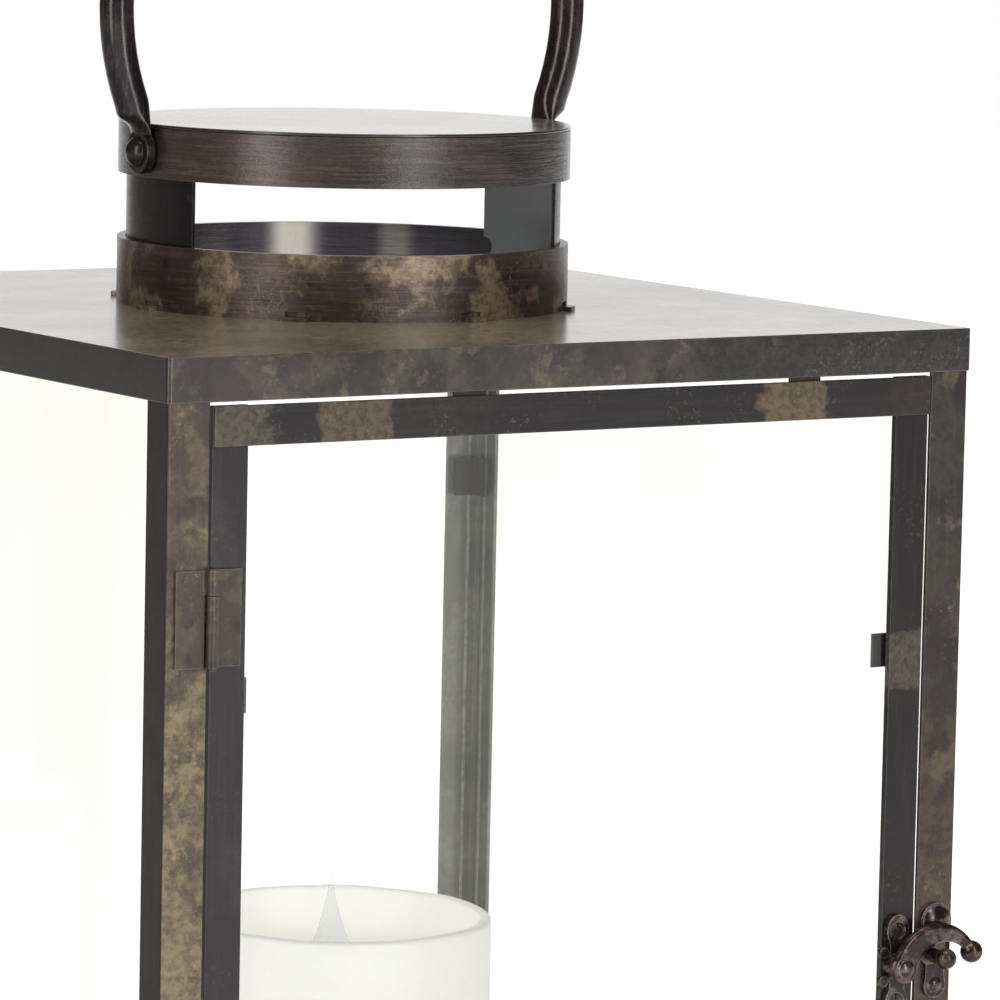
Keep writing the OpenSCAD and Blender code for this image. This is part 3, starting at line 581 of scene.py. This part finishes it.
def lacquered_steel(name, cool, warm, rubbed=(), places=(), flecks=0.0, brushing=0.0,
                    upright=False, edge="#8f8a80", edge_strength=0.4, roughness=0.36,
                    metallic=0.3, coat=0.35, painted_left_shade=0.0, top=None, inside=None,
                    outside=None, relief_strength=0.06, shift=0.0):
    """Dark lacquer with what was rubbed on it. Strengths and shares run from 0 to 1."""
    steel = lay_ground(name, cool, warm, shift)
    steel.metallic, steel.inner = metallic, None
    rub_wax(steel, rubbed, shift)
    if places:
        rub_spots(steel, places)
    if flecks:
        scatter_flecks(steel, flecks, shift)
    brush(steel, brushing, upright)
    # painted shade on the faces that look to the left
    if painted_left_shade:
        paint_left_shade(steel, painted_left_shade)
    if outside:
        cover_outside(steel, *outside)
    # the pale shade for level tops is a painted sheen
    if top:
        paint_top_sheen(steel, top)
    if inside:
        bare_inside(steel, *inside, metallic)
    wear_edges(steel, edge, edge_strength)
    close_surface(steel, roughness, relief_strength, coat)
    return steel.material


print("relief up to", RELIEF_DEPTH / MM, "mm deep")

# %% [markdown]
# ## Sheet and angle iron
# The lid and the tray are folded sheet, and the four posts are angle iron. Both come from the
# same lacquer bath, with their own wax: the front left post the most, the front right post darker
# and with the least. The rear posts, seen from inside through the glass, wear a painted reflection.

# %% Finishes of the sheet and the posts
OLIVE, DARK_OLIVE, TAN, GOLD = "#5a5341", "#3f3930", "#7a6b50", "#8a7655"
NIGHT, UMBER = "#1c1719", "#33281f"
STEEL = {}

# broad olive clouds on near-black walls, darker towards the latch, painted left shade and top sheen
STEEL["case"] = lacquered_steel(
    "lacquered steel sheet, waxed", "#2e2524", "#3a2e28",
    rubbed=[(DARK_OLIVE, 34, 0.45, 0.05, 0.8), ("#4d4636", 11, 0.4, 0.05, 0.7),
            (NIGHT, 9, 0.3, 0.05, 0.6), (TAN, 6, 0.12, 0.03, 0.4)],
    places=[("#100a0a", "X", 30, 160, 18, 0.95)],
    flecks=0.2, coat=0.9, painted_left_shade=0.9, top="#b0a588", edge_strength=0.9)

# the most patina: olive and tan all over, more towards the foot, and painted shade on its left face
STEEL["post"] = lacquered_steel(
    "lacquered angle iron, waxed", "#3d342f", "#493e34",
    rubbed=[(OLIVE, 24, 0.5, 0.05, 0.7), (TAN, 8, 0.35, 0.05, 0.55),
            (UMBER, 5, 0.3, 0.05, 0.5)],
    places=[("#8a7a5a", "Z", -20, 235, 50, 0.9)],
    flecks=0.55, brushing=0.12, upright=True, painted_left_shade=0.95, shift=0.31)

# darker and cooler, with olive only on the lower part
STEEL["post_right"] = lacquered_steel(
    "lacquered angle iron, dark", "#271e1c", "#31261f",
    rubbed=[(DARK_OLIVE, 26, 0.5, 0.05, 0.8), (TAN, 12, 0.16, 0.03, 0.5)],
    places=[("#544836", "Z", -20, 215, 30, 0.7)],
    flecks=0.3, brushing=0.06, upright=True, shift=0.93)

# grey green inside as a painted reflection, two painted bright lines, a painted shade line by them
STEEL["post_back"] = lacquered_steel(
    "angle iron, painted sheet reflection", "#6b6d62", "#777769",
    rubbed=[("#9c9e90", 26, 0.5, 0.06, 0.8), (TAN, 10, 0.12, 0.03, 0.4)],
    places=[("#3f433f", "Z", 262, 340, 22, 0.55),
            ("#e6e6da", "X", POST_FACE_MM - 4.6, POST_FACE_MM - 3.6, 0.12, 0.9),
            ("#e6e6da", "Y", POST_FACE_MM - 6.2, POST_FACE_MM - 5.0, 0.12, 0.8),
            ("#1f2220", "Y", POST_FACE_MM - 4.2, POST_FACE_MM - 3.2, 0.12, 0.8)],
    flecks=0.2, brushing=0.3, upright=True, edge="#c9c9be", edge_strength=0.9,
    outside=(OLIVE, UMBER), shift=1.7)
print("sheet and angle iron:", [material.name for material in STEEL.values()])

# %% [markdown]
# ## Flat bar of the door
# The door is four flat bars. They are a darker, bluer black than the case, and the cloth left
# its patches at either end of the top rail, where a hand takes the door, and below the latch.

# %% Finishes of the door's bars
LATCH_PATCH_LOW_MM = CLIP_TOP_MM - 35.5
LATCH_PATCH_HIGH_MM = CLIP_TOP_MM - 20.5

# a dark blue grey bar with olive, tan and gold patches near its ends
STEEL["rail"] = lacquered_steel(
    "lacquered flat bar, rubbed in patches", "#181518", "#1f1b1d",
    places=[(OLIVE, "X", -108, -91, 2, 0.9), (TAN, "X", -78, -56.5, 0.8, 0.55),
            (DARK_OLIVE, "X", -56, -30, 5, 0.25), (GOLD, "X", 56, 72, 2.5, 0.55),
            (UMBER, "X", 95, 112, 4, 0.9)],
    flecks=0.3, brushing=0.05, shift=0.7)

# an even charcoal with hardly any wax
STEEL["stile"] = lacquered_steel(
    "lacquered flat bar", "#242125", "#2a2628",
    rubbed=[("#393536", 30, 0.3, 0.05, 0.7)],
    flecks=0.12, brushing=0.05, upright=True, shift=0.52)

# nearly black, with one olive patch below the latch
STEEL["latch_stile"] = lacquered_steel(
    "lacquered flat bar, latch side", "#120a0e", "#1a1011",
    places=[(OLIVE, "Z", LATCH_PATCH_LOW_MM, LATCH_PATCH_HIGH_MM, 0.8, 0.8)],
    flecks=0.12, brushing=0.05, upright=True, shift=0.52)
print("patch on the latch stile from", round(LATCH_PATCH_LOW_MM), "mm up")

# %% [markdown]
# ## Chimney
# Its bands were rolled and then brushed round, so the brushing breaks every highlight into
# lines. The deeper relief does that, and a higher metallic share lets the steel show through.

# %% Finishes of the chimney
# a warm brown band with tan clouds, and bare steel inside with three painted highlights
STEEL["band"] = lacquered_steel(
    "lacquered band, brushed", "#352c2e", "#57473c",
    rubbed=[(DARK_OLIVE, 22, 0.3, 0.05, 0.6), ("#ab957a", 12, 0.38, 0.06, 0.75),
            (NIGHT, 7, 0.16, 0.04, 0.6)],
    flecks=0.5, brushing=0.35, metallic=0.75, relief_strength=0.5,
    inside=("#605d66", "#fff6ea", [(17, 11, 1.0), (41, 6, 0.6), (-6, 9, 0.3)], 0.9),
    shift=0.12)

# a darker band with fine lines and a glossy coat
STEEL["cap"] = lacquered_steel(
    "lacquered cap, brushed", "#2b2223", "#473b35",
    rubbed=[(DARK_OLIVE, 26, 0.2, 0.05, 0.5)],
    flecks=0.1, brushing=0.34, roughness=0.35, metallic=0.65, coat=0.9,
    relief_strength=0.45, shift=0.66)

# dark at its edge and pale on top, where a painted sheen lies
STEEL["disc"] = lacquered_steel(
    "lacquered cap disc", "#1f1819", "#2f2723",
    rubbed=[(DARK_OLIVE, 26, 0.2, 0.05, 0.5)],
    flecks=0.1, brushing=0.2, roughness=0.35, metallic=0.4, coat=1.0, top="#b8ad92",
    shift=0.66)

# nearly black pillars; pale grey inner faces, bare steel made matt, partly a painted reflection
STEEL["sleeve"] = lacquered_steel(
    "lacquered sleeve", "#120e0e", "#1a1414",
    rubbed=[(DARK_OLIVE, 14, 0.12, 0.03, 0.4)],
    flecks=0.1, roughness=0.34, metallic=0.5, inside=("#85878b", TAN, [], 0.2), shift=0.5)
print("chimney finishes:", ["band", "cap", "disc", "sleeve"])

# %% [markdown]
# ## Handle, hinges, latch and clips
# Small fittings are handled most. The rod is polished by hands along its length, the latch is a
# casting worn bright at its edges, and the clips that hold the glass are dull spring steel.

# %% Finishes of the fittings
# a smooth dark rod with long fine lines
STEEL["rod"] = lacquered_steel(
    "lacquered round rod", "#2b2427", "#362e2c",
    rubbed=[(DARK_OLIVE, 12, 0.12, 0.03, 0.5)],
    brushing=0.3, upright=True, roughness=0.22, metallic=0.7, shift=0.9)

# brown leaves with olive wax and a few dark spots
STEEL["hinge"] = lacquered_steel(
    "lacquered hinge leaf", "#433a32", "#4a3f35",
    rubbed=[(OLIVE, 9, 0.5, 0.05, 0.8), (NIGHT, 7, 0.2, 0.04, 0.6)],
    flecks=0.3, edge_strength=0.6, shift=1.4)

# a glossy casting, mauve and tan in small spots, with bright edges
STEEL["latch"] = lacquered_steel(
    "lacquered casting", "#2a2023", "#352a2a",
    rubbed=[("#8a7770", 4, 0.28, 0.05, 0.6), (TAN, 3, 0.2, 0.04, 0.5)],
    edge="#c2b2aa", edge_strength=0.9, roughness=0.25, metallic=0.7, shift=2.0)

# dark domes with a small soft highlight
STEEL["rivet"] = lacquered_steel(
    "lacquered rivet", "#241f21", "#2e2828",
    rubbed=[(DARK_OLIVE, 5, 0.2, 0.05, 0.5)],
    roughness=0.3, metallic=0.5, shift=2.6)

# plain grey metal without much gloss
STEEL["clip"] = lacquered_steel(
    "dull clip steel", "#3c3a3c", "#474240",
    rubbed=[(DARK_OLIVE, 7, 0.3, 0.05, 0.6)],
    roughness=0.45, metallic=0.6, coat=0.2, shift=3.1)
print(len(STEEL), "steel finishes in all")

# %% [markdown]
# ## Glass
# The panes are plain 2 mm float glass. Glass that refracts would darken the view and cost much
# time for panes this thin, so light goes straight through a barely tinted sheet, and a share of
# it is mirrored: little from the front and nearly all at a glancing look.

# %% Glass
GLASS_TINT = "#fdfdfb"
MIRRORED_FROM_FRONT = 0.04
FRESNEL_POWER = 5.0


def make_glass():
    """Clear sheet that mirrors more the more it is looked along."""
    material, tree, out = new_material("float glass, 2 mm")
    tint = add(tree, "BsdfTransparent", {"Color": linear(GLASS_TINT)})
    mirror = add(tree, "BsdfGlossy", {"Color": WHITE, "Roughness": 0.0})
    facing = add(tree, "LayerWeight", {"Blend": 0.5}).outputs["Facing"]
    glancing = add(tree, "Math", {0: facing, 1: FRESNEL_POWER}, operation="POWER")
    share = add(tree, "MapRange", {"Value": glancing, "To Min": MIRRORED_FROM_FRONT,
        "To Max": 1.0})
    both = add(tree, "MixShader", {0: share, 1: tint, 2: mirror})
    tree.links.new(both.outputs[0], out.inputs["Surface"])
    return material


# a clear view with a faint white sheen, strongest on the panes that are seen along
GLASS = make_glass()
print("glass mirrors", MIRRORED_FROM_FRONT, "of the light from the front")

# %% [markdown]
# ## Wax and plastics
# The candle is a real wax shell, so light enters it and comes out softened: that is subsurface
# scattering of a few millimetres, with a satin surface. The light that comes through the thin
# wall into the cup is a painted glow: faces towards the axis emit a little of the wax's colour.
# The moulded plastic of the parts underneath is the same recipe with no light inside.

# %% Wax and moulded plastic
CLOUDING_MM = 24
UNEVEN_MM = 9
GRAIN_DEPTH = 0.5 * MM
# how far outwards a face looks where the painted glow begins and where it is full
GLOW_BEGINS, GLOW_FULL = 6 * MM, -10 * MM


def soft_material(name, colour, roughness, scatter=0.0, scatter_mm=3.0, grain_mm=2.0,
                  grain=0.06, cloud="#ffffff", clouding=0.0, painted_glow=0.0):
    """Wax or moulded plastic: an even colour, a faint cloud, a fine grain and soft light inside."""
    material, tree, out = new_material(name)
    place = add(tree, "TexCoord").outputs["Object"]
    clouds = add(tree, "TexNoise", {"Vector": place, "Scale": 1 / (CLOUDING_MM * MM),
        "Detail": 3.0})
    cloud_mask = add(tree, "MapRange", {"Value": clouds, "From Min": 0.35, "From Max": 0.65,
        "To Max": clouding})
    base = add(tree, "Mix", {"Factor": cloud_mask, "A": linear(colour), "B": linear(cloud)},
        data_type="RGBA")
    fine = add(tree, "TexNoise", {"Vector": place, "Scale": 1 / (grain_mm * MM), "Detail": 4.0})
    bump = add(tree, "Bump", {"Strength": grain, "Distance": GRAIN_DEPTH, "Height": fine})
    uneven = add(tree, "TexNoise", {"Vector": place, "Scale": 1 / (UNEVEN_MM * MM), "Detail": 4.0})
    rough = add(tree, "MapRange", {"Value": uneven, "To Min": roughness - 0.05,
        "To Max": roughness + 0.08})
    facing = add(tree, "NewGeometry").outputs["Normal"]
    sideways = add(tree, "Mapping", {"Vector": place, "Scale": (1, 1, 0)})
    from_axis = add(tree, "VectorMath", {0: sideways, 1: facing}, operation="DOT_PRODUCT")
    # the emission is a painted glow that stands for daylight through the thin wall
    passed = add(tree, "MapRange", {"Value": from_axis, "From Min": GLOW_BEGINS,
        "From Max": GLOW_FULL, "To Max": painted_glow})
    surface = add(tree, "BsdfPrincipled", {"Base Color": base, "Roughness": rough,
        "Emission Color": base, "Emission Strength": passed, "Normal": bump,
        "Subsurface Weight": scatter, "Subsurface Radius": (1.0, 0.85, 0.6),
        "Subsurface Scale": scatter_mm * MM})
    tree.links.new(surface.outputs[0], out.inputs["Surface"])
    return material


# warm white with a creamy cloud, soft at its rim, with a painted glow inside the cup
WAX = soft_material("ivory wax", "#fefcf9", 0.42, scatter=0.6, scatter_mm=7.0, painted_glow=0.16,
                    cloud="#faf8f0", clouding=0.6)
# the same white a little greyer, and opaque
HOUSING = soft_material("ivory moulded plastic", "#ebe8db", 0.45)
# a dull black, for the switch
BLACK_PLASTIC = soft_material("black moulded plastic", "#1b1b1c", 0.4)
print("soft materials:", [m.name for m in (WAX, HOUSING, BLACK_PLASTIC)])

# %% [markdown]
# ## Flame blade and small metals
# The flame is a thin blade of frosted plastic. Scattering inside it would be slow and noisy, so
# it is a mixture: a share of milky plastic, and the rest lets light straight through. The small
# metal parts are drawn wire and pressed cans, whose gloss has fine lines along Z.

# %% Flame blade and small metals
MILKY_LOW, MILKY_HIGH = RIM_TOP - 12 * MM, RIM_TOP + 9 * MM
DRAWN_MM = 0.8
DRAWN_STREAK = 18


def make_flame_material():
    """Frosted blade: 58 % of the light goes through at its foot and 78 % at its tip."""
    material, tree, out = new_material("frosted flame blade")
    place = add(tree, "TexCoord").outputs["Object"]
    height = add(tree, "SeparateXYZ", {0: place}).outputs["Z"]
    milk = add(tree, "MapRange", {"Value": height, "From Min": MILKY_LOW, "From Max": MILKY_HIGH,
        "To Min": 0.42, "To Max": 0.22})
    milky = add(tree, "BsdfPrincipled", {"Base Color": linear("#fbfcff"), "Roughness": 0.35})
    through = add(tree, "BsdfTransparent", {"Color": linear("#fafbfb")})
    both = add(tree, "MixShader", {0: milk, 1: through, 2: milky})
    tree.links.new(both.outputs[0], out.inputs["Surface"])
    return material


def plain_metal(name, colour, roughness):
    """Small bare metal parts: drawn wire, cell cans and copper, with faint drawing lines."""
    material, tree, out = new_material(name)
    place = add(tree, "TexCoord").outputs["Object"]
    drawn = add(tree, "Mapping", {"Vector": place, "Scale": (1, 1, 1 / DRAWN_STREAK)})
    lines = add(tree, "TexNoise", {"Vector": drawn, "Scale": 1 / (DRAWN_MM * MM), "Detail": 3.0})
    rough = add(tree, "MapRange", {"Value": lines, "To Min": roughness - 0.06,
        "To Max": roughness + 0.1})
    surface = add(tree, "BsdfPrincipled", {"Base Color": linear(colour), "Metallic": 1.0,
        "Roughness": rough})
    tree.links.new(surface.outputs[0], out.inputs["Surface"])
    return material


# cloudy white at the foot and clearer at the tip
FLAME = make_flame_material()
# light grey with a clear shine
BRIGHT = plain_metal("bright steel", "#c9c9c6", 0.25)
# a warm red brown, as enamelled winding wire is
COPPER = plain_metal("enamelled copper", "#b4703f", 0.3)
print("small parts:", [m.name for m in (FLAME, BRIGHT, COPPER)])

# %% [markdown]
# ## Eased edges
# Real sheet and bar never has a knife edge: a fold has a small radius and a cut edge is dressed.
# A rounded normal in the shader would shade the edge but not turn it, so a real bevel is cut.
# The solids are exact but sharp, so each metal piece is copied, its triangles are merged back
# into whole faces, and every sharp edge gets a small bevel. The copy then stands for the solid.

# %% Finish a piece
SMOOTH_BELOW = math.radians(50)


def finish_piece(shape, name, material, body, nodes):
    """Turns a bmesh into a smooth-shaded piece that rides on a body and replaces some nodes."""
    mesh = bpy.data.meshes.new(name)
    shape.to_mesh(mesh)
    shape.free()
    mesh.polygons.foreach_set("use_smooth", [True] * len(mesh.polygons))
    mesh.set_sharp_from_angle(angle=SMOOTH_BELOW)
    mesh.materials.append(material)
    piece = bpy.data.objects.new(name, mesh)
    bpy.context.scene.collection.objects.link(piece)
    weighted = piece.modifiers.new("flat faces stay flat", "WEIGHTED_NORMAL")
    weighted.keep_sharp = True
    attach(piece, body)
    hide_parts(*nodes)
    return piece


print("smooth shading below", round(math.degrees(SMOOTH_BELOW)), "degrees")

# %% Ease the edges of a solid
MERGE = 0.002 * MM
FLAT_BELOW = math.radians(0.4)
SHARP = math.radians(30)


def bevel_sharp(shape, width, segments):
    """Rounds every edge that turns by more than the sharp angle."""
    sharp = [e for e in shape.edges if e.is_manifold and e.calc_face_angle(0) > SHARP]
    bmesh.ops.bevel(shape, geom=sharp, offset=width, offset_type="OFFSET", segments=segments,
                    profile=0.5, affect="EDGES", clamp_overlap=True, material=-1)


def eased(node, material, body, width):
    """Copy of a solid with its sharp edges bevelled, which replaces it."""
    shape = bmesh.new()
    shape.from_mesh(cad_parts[node].data)
    bmesh.ops.remove_doubles(shape, verts=shape.verts, dist=MERGE)
    bmesh.ops.dissolve_limit(shape, angle_limit=FLAT_BELOW, verts=shape.verts,
                             edges=shape.edges)
    bevel_sharp(shape, width, segments=2)
    bmesh.ops.recalc_face_normals(shape, faces=shape.faces)
    return finish_piece(shape, node + "_finish", material, body, [node])


print("edges sharper than", round(math.degrees(SHARP)), "degrees are eased")

# %% Pieces with eased edges
# solids, finish, slot, body and the width of the eased edge in millimetres
EASED = [
    (["lid", "base_tray"], "case", "case_metal", "lantern", 0.5),
    (["post_front_left"], "post", "case_metal", "lantern", 0.35),
    (["post_front_right"], "post_right", "case_metal", "lantern", 0.35),
    (["post_back_left", "post_back_right"], "post_back", "case_metal", "lantern", 0.35),
    (["pane_clips", "door_stops"], "clip", "clip_metal", "lantern", 0.2),
    (["chimney_collar"], "band", "chimney_metal", "lantern", 0.3),
    (["chimney_sleeve"], "sleeve", "sleeve_metal", "lantern", 0.2),
    (["chimney_cap_band"], "cap", "chimney_metal", "lantern", 0.3),
    (["chimney_cap_disc"], "disc", "chimney_metal", "lantern", 0.35),
    (["handle_rivets"], "rivet", "rivet_metal", "lantern", 0.3),
    (["upper_post_leaf", "lower_post_leaf"], "hinge", "hinge_metal", "lantern", 0.2),
    (["latch_keeper"], "latch", "latch_metal", "lantern", 0.3),
    (["keeper_screws"], "latch", "rivet_metal", "lantern", 0.2),
    (["door_top_rail", "door_bottom_rail"], "rail", "door_metal", "door", 0.3),
    (["door_hinge_stile"], "stile", "door_metal", "door", 0.3),
    (["door_latch_stile"], "latch_stile", "door_metal", "door", 0.3),
    (["door_glass_clips"], "clip", "clip_metal", "door", 0.2),
    (["upper_door_leaf", "lower_door_leaf"], "hinge", "hinge_metal", "door", 0.2),
    (["latch_plate"], "latch", "latch_metal", "door", 0.3),
    (["latch_rivet"], "latch", "rivet_metal", "door", 0.2),
    (["latch_hook"], "latch", "latch_metal", "latch_hook", 0.3),
]
eased_pieces = [eased(node, STEEL[finish_name], body, width_mm * MM)
                for nodes, finish_name, slot, body, width_mm in EASED for node in nodes]
print(len(eased_pieces), "pieces with eased edges")

# %% [markdown]
# ## Bail handle
# The handle is one round rod, bent to an arch, whose ends were forged flat and drilled for the
# rivets. A curve with a round bevel would be round all the way, so a ring of vertices is
# extruded along the arch instead: it is spun for the arch, and pushed, narrowed and widened
# ring by ring down the neck. Each eye is a flat disc with a hole, eased at its edges.

# %% Sizes of the handle
ROD_R = 4.5 * MM
EYE_R = 5.7 * MM
EYE_HOLE_R = 2.6 * MM
EYE_T = 2.5 * MM
EYE_GAP = 0.4 * MM
PIVOT_RISE = 5.8 * MM
NECK_RISE = 13 * MM
BAIL_LOW, BAIL_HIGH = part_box("bail_handle")
BAIL_PIVOT_Z = BAIL_LOW.z + PIVOT_RISE
EYE_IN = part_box("chimney_cap_band")[1].x + EYE_GAP
ARCH_R = BAIL_HIGH.x - ROD_R
ARCH_Z = BAIL_HIGH.z - ROD_R - ARCH_R
NECK_TOP = BAIL_PIVOT_Z + NECK_RISE
FOOT_TURN = math.asin((NECK_TOP - ARCH_Z) / ARCH_R)
FOOT = Vector((ARCH_R * math.cos(FOOT_TURN), 0, ARCH_Z + ARCH_R * math.sin(FOOT_TURN)))
print("arch radius", round(ARCH_R / MM, 1), "mm, its foot at", round(FOOT.z / MM), "mm")

# %% The arch
RING_POINTS = 24
ARCH_STEPS = 64


def bend_arch(shape):
    """A ring at the foot on the +X side, square to the arch, spun over to the other foot."""
    bmesh.ops.create_circle(shape, segments=RING_POINTS, radius=ROD_R,
                            matrix=Matrix.Translation(FOOT) @ Matrix.Rotation(-FOOT_TURN, 4, "Y"))
    bmesh.ops.spin(shape, geom=list(shape.edges), cent=(0, 0, ARCH_Z), axis=(0, -1, 0),
                   use_merge=False, angle=math.pi - 2 * FOOT_TURN, steps=ARCH_STEPS)


print("the arch sweeps", round(180 - 2 * math.degrees(FOOT_TURN)), "degrees")

# %% Easing between two shapes, and the next ring of a tube


def smooth(t):
    """Eases from 0 to 1 with level ends."""
    return t * t * (3 - 2 * t)


def glide(t, start, end, slope):
    """Goes from start, leaving at this slope, to end, arriving level."""
    return start + slope * t * (1 - t) ** 2 + (end - start) * smooth(t)


def extrude_ring(shape, edges):
    """Adds the next ring of a tube and gives its edges."""
    made = bmesh.ops.extrude_edge_only(shape, edges=edges)["geom"]
    return [e for e in made if isinstance(e, bmesh.types.BMEdge)
            and all(v in made for v in e.verts) and len(e.link_faces) == 1]


print("a quarter of the way is eased to", smooth(0.25))

# %% [markdown]
# ## The forged necks
# Hammering moves metal: the rod gets flatter and wider at once, and its inner side comes in
# against the band. Each ring of the neck is therefore placed by where its inner side has to be.
# The ring before it is turned back, scaled on its two axes, and turned to its new direction.

# %% The necks
NECK_STEPS = 12
# share of the neck that is still round
NECK_ROUND = 0.15
# the neck ends inside the eye, a little narrower than it
EYE_REACH = 0.8
NECK_WIDTH = 0.92


def forge_neck(shape, side):
    """Rings from the foot of the arch to the eye on one side, ever flatter and wider."""
    edges = [e for e in shape.edges if len(e.link_faces) == 1
             and side * e.verts[0].co.x > 0 and e.verts[0].co.z < NECK_TOP + ROD_R]
    end_z = BAIL_PIVOT_Z + EYE_R * EYE_REACH
    slope = math.tan(FOOT_TURN) * (FOOT.z - end_z)
    middle = Vector((side * FOOT.x, 0, FOOT.z))
    turned, flat, wide = side * FOOT_TURN, ROD_R, ROD_R
    for step in range(1, NECK_STEPS + 1):
        t = step / NECK_STEPS
        edges = extrude_ring(shape, edges)
        forged = smooth(max(0.0, (t - NECK_ROUND) / (1 - NECK_ROUND)))
        turn_to = side * FOOT_TURN * (1 - forged)
        flat_to = ROD_R + (EYE_T / 2 - ROD_R) * forged
        wide_to = ROD_R + (EYE_R * NECK_WIDTH - ROD_R) * forged
        inner_x = glide(t, FOOT.x - ROD_R, EYE_IN, slope)
        centre = Vector((side * (inner_x + flat_to), 0, FOOT.z + (end_z - FOOT.z) * t))
        place = (Matrix.Translation(centre) @ Matrix.Rotation(-turn_to, 4, "Y")
                 @ Matrix.Diagonal((flat_to / flat, wide_to / wide, 1, 1))
                 @ Matrix.Rotation(turned, 4, "Y") @ Matrix.Translation(-middle))
        ring = list(dict.fromkeys(v for e in edges for v in e.verts))
        bmesh.ops.transform(shape, matrix=place, verts=ring)
        middle, turned, flat, wide = centre, turn_to, flat_to, wide_to
    bmesh.ops.edgeloop_fill(shape, edges=edges)


print("each neck is", round((FOOT.z - BAIL_PIVOT_Z) / MM), "mm high in", NECK_STEPS, "rings")

# %% The eyes
EYE_POINTS = 2 * RING_POINTS


def punch_eye(shape, side):
    """A disc with a hole, from two circles that are bridged and thickened."""
    stand = (Matrix.Translation((side * EYE_IN, 0, BAIL_PIVOT_Z))
             @ Matrix.Rotation(side * math.pi / 2, 4, "Y"))
    rings = []
    for radius in (EYE_R, EYE_HOLE_R):
        made = bmesh.ops.create_circle(shape, segments=EYE_POINTS, radius=radius,
                                       matrix=stand)["verts"]
        rings += dict.fromkeys(e for v in made for e in v.link_edges)
    disc = bmesh.ops.bridge_loops(shape, edges=rings)["faces"]
    raised = bmesh.ops.extrude_face_region(shape, geom=disc)["geom"]
    top = [g for g in raised if isinstance(g, bmesh.types.BMVert)]
    bmesh.ops.translate(shape, vec=(side * EYE_T, 0, 0), verts=top)


print("eyes", round(2 * EYE_R / MM, 1), "mm wide with", round(2 * EYE_HOLE_R / MM, 1), "mm holes")

# %% The whole handle
BAIL_EASED = 0.4 * MM


def make_bail():
    """Arch, necks and eyes as one forged piece with eased edges."""
    shape = bmesh.new()
    bend_arch(shape)
    for side in (1, -1):
        forge_neck(shape, side)
    for side in (1, -1):
        punch_eye(shape, side)
    bmesh.ops.remove_doubles(shape, verts=shape.verts, dist=MERGE)
    bmesh.ops.recalc_face_normals(shape, faces=shape.faces)
    bevel_sharp(shape, BAIL_EASED, segments=3)
    return finish_piece(shape, "bail_handle_forged", STEEL["rod"],
                        "bail_handle", ["bail_handle"])


bail = make_bail()
print("bail handle:", len(bail.data.polygons), "faces")

# %% [markdown]
# ## Candle
# The shell was poured and its rim melted a little, so it is never quite level or round. The rim
# could be sculpted by hand, but a few slow waves do it with one number for their height. The
# copy keeps every vertex of the solid, and those near the top move down and in, less and less
# below the rim. No vertex goes outside the solid's own outline.

# %% Candle shell
RIM_WAVE = 0.45 * MM
RIM_DEPTH = 14 * MM
INWARD_TURN = 1.9


def rim_wave(turn):
    """Height of the melted rim round the candle, from -1 to 1."""
    return (math.sin(2 * turn + 0.8) + 0.6 * math.sin(5 * turn + 2.1)
            + 0.35 * math.sin(9 * turn)) / 1.95


def make_candle():
    """Copy of the shell whose rim sinks and leans in by the waves."""
    shape = bmesh.new()
    shape.from_mesh(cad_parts["candle_shell"].data)
    bmesh.ops.remove_doubles(shape, verts=shape.verts, dist=MERGE)
    for vert in shape.verts:
        near_top = smooth(max(0.0, min(1.0, (vert.co.z - RIM_TOP + RIM_DEPTH) / RIM_DEPTH)))
        outward = Vector((vert.co.x, vert.co.y, 0)) / CANDLE_R
        turn = math.atan2(vert.co.y, vert.co.x)
        vert.co.z += near_top * outward.length * RIM_WAVE * (rim_wave(turn) - 1)
        vert.co += outward * near_top * RIM_WAVE * (rim_wave(turn + INWARD_TURN) - 1)
    return finish_piece(shape, "candle_shell_poured", WAX, "candle", ["candle_shell"])


candle = make_candle()
print("candle shell:", len(candle.data.polygons), "faces")

# %% [markdown]
# ## Finishes on the solids that keep their own shape
# Panes, screws, pins and what is inside the candle are already the right shape, so they only
# get their material.

# %% Dress the remaining solids


def dress(material, *nodes):
    """Gives solids a material in place of their plain one."""
    for name in nodes:
        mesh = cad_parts[name].data
        mesh.materials.clear()
        mesh.materials.append(material)


dress(GLASS, "pane_left", "pane_right", "pane_back", "door_glass")
dress(STEEL["rivet"], "hinge_pins", "latch_screws")
dress(HOUSING, "candle_core", "battery_cover")
dress(BRIGHT, "candle_batteries", "flame_wire", "flame_magnets")
dress(COPPER, "drive_coil")
dress(BLACK_PLASTIC, "switch_knob")
dress(FLAME, "flame")
print("materials in all:", len(bpy.data.materials))
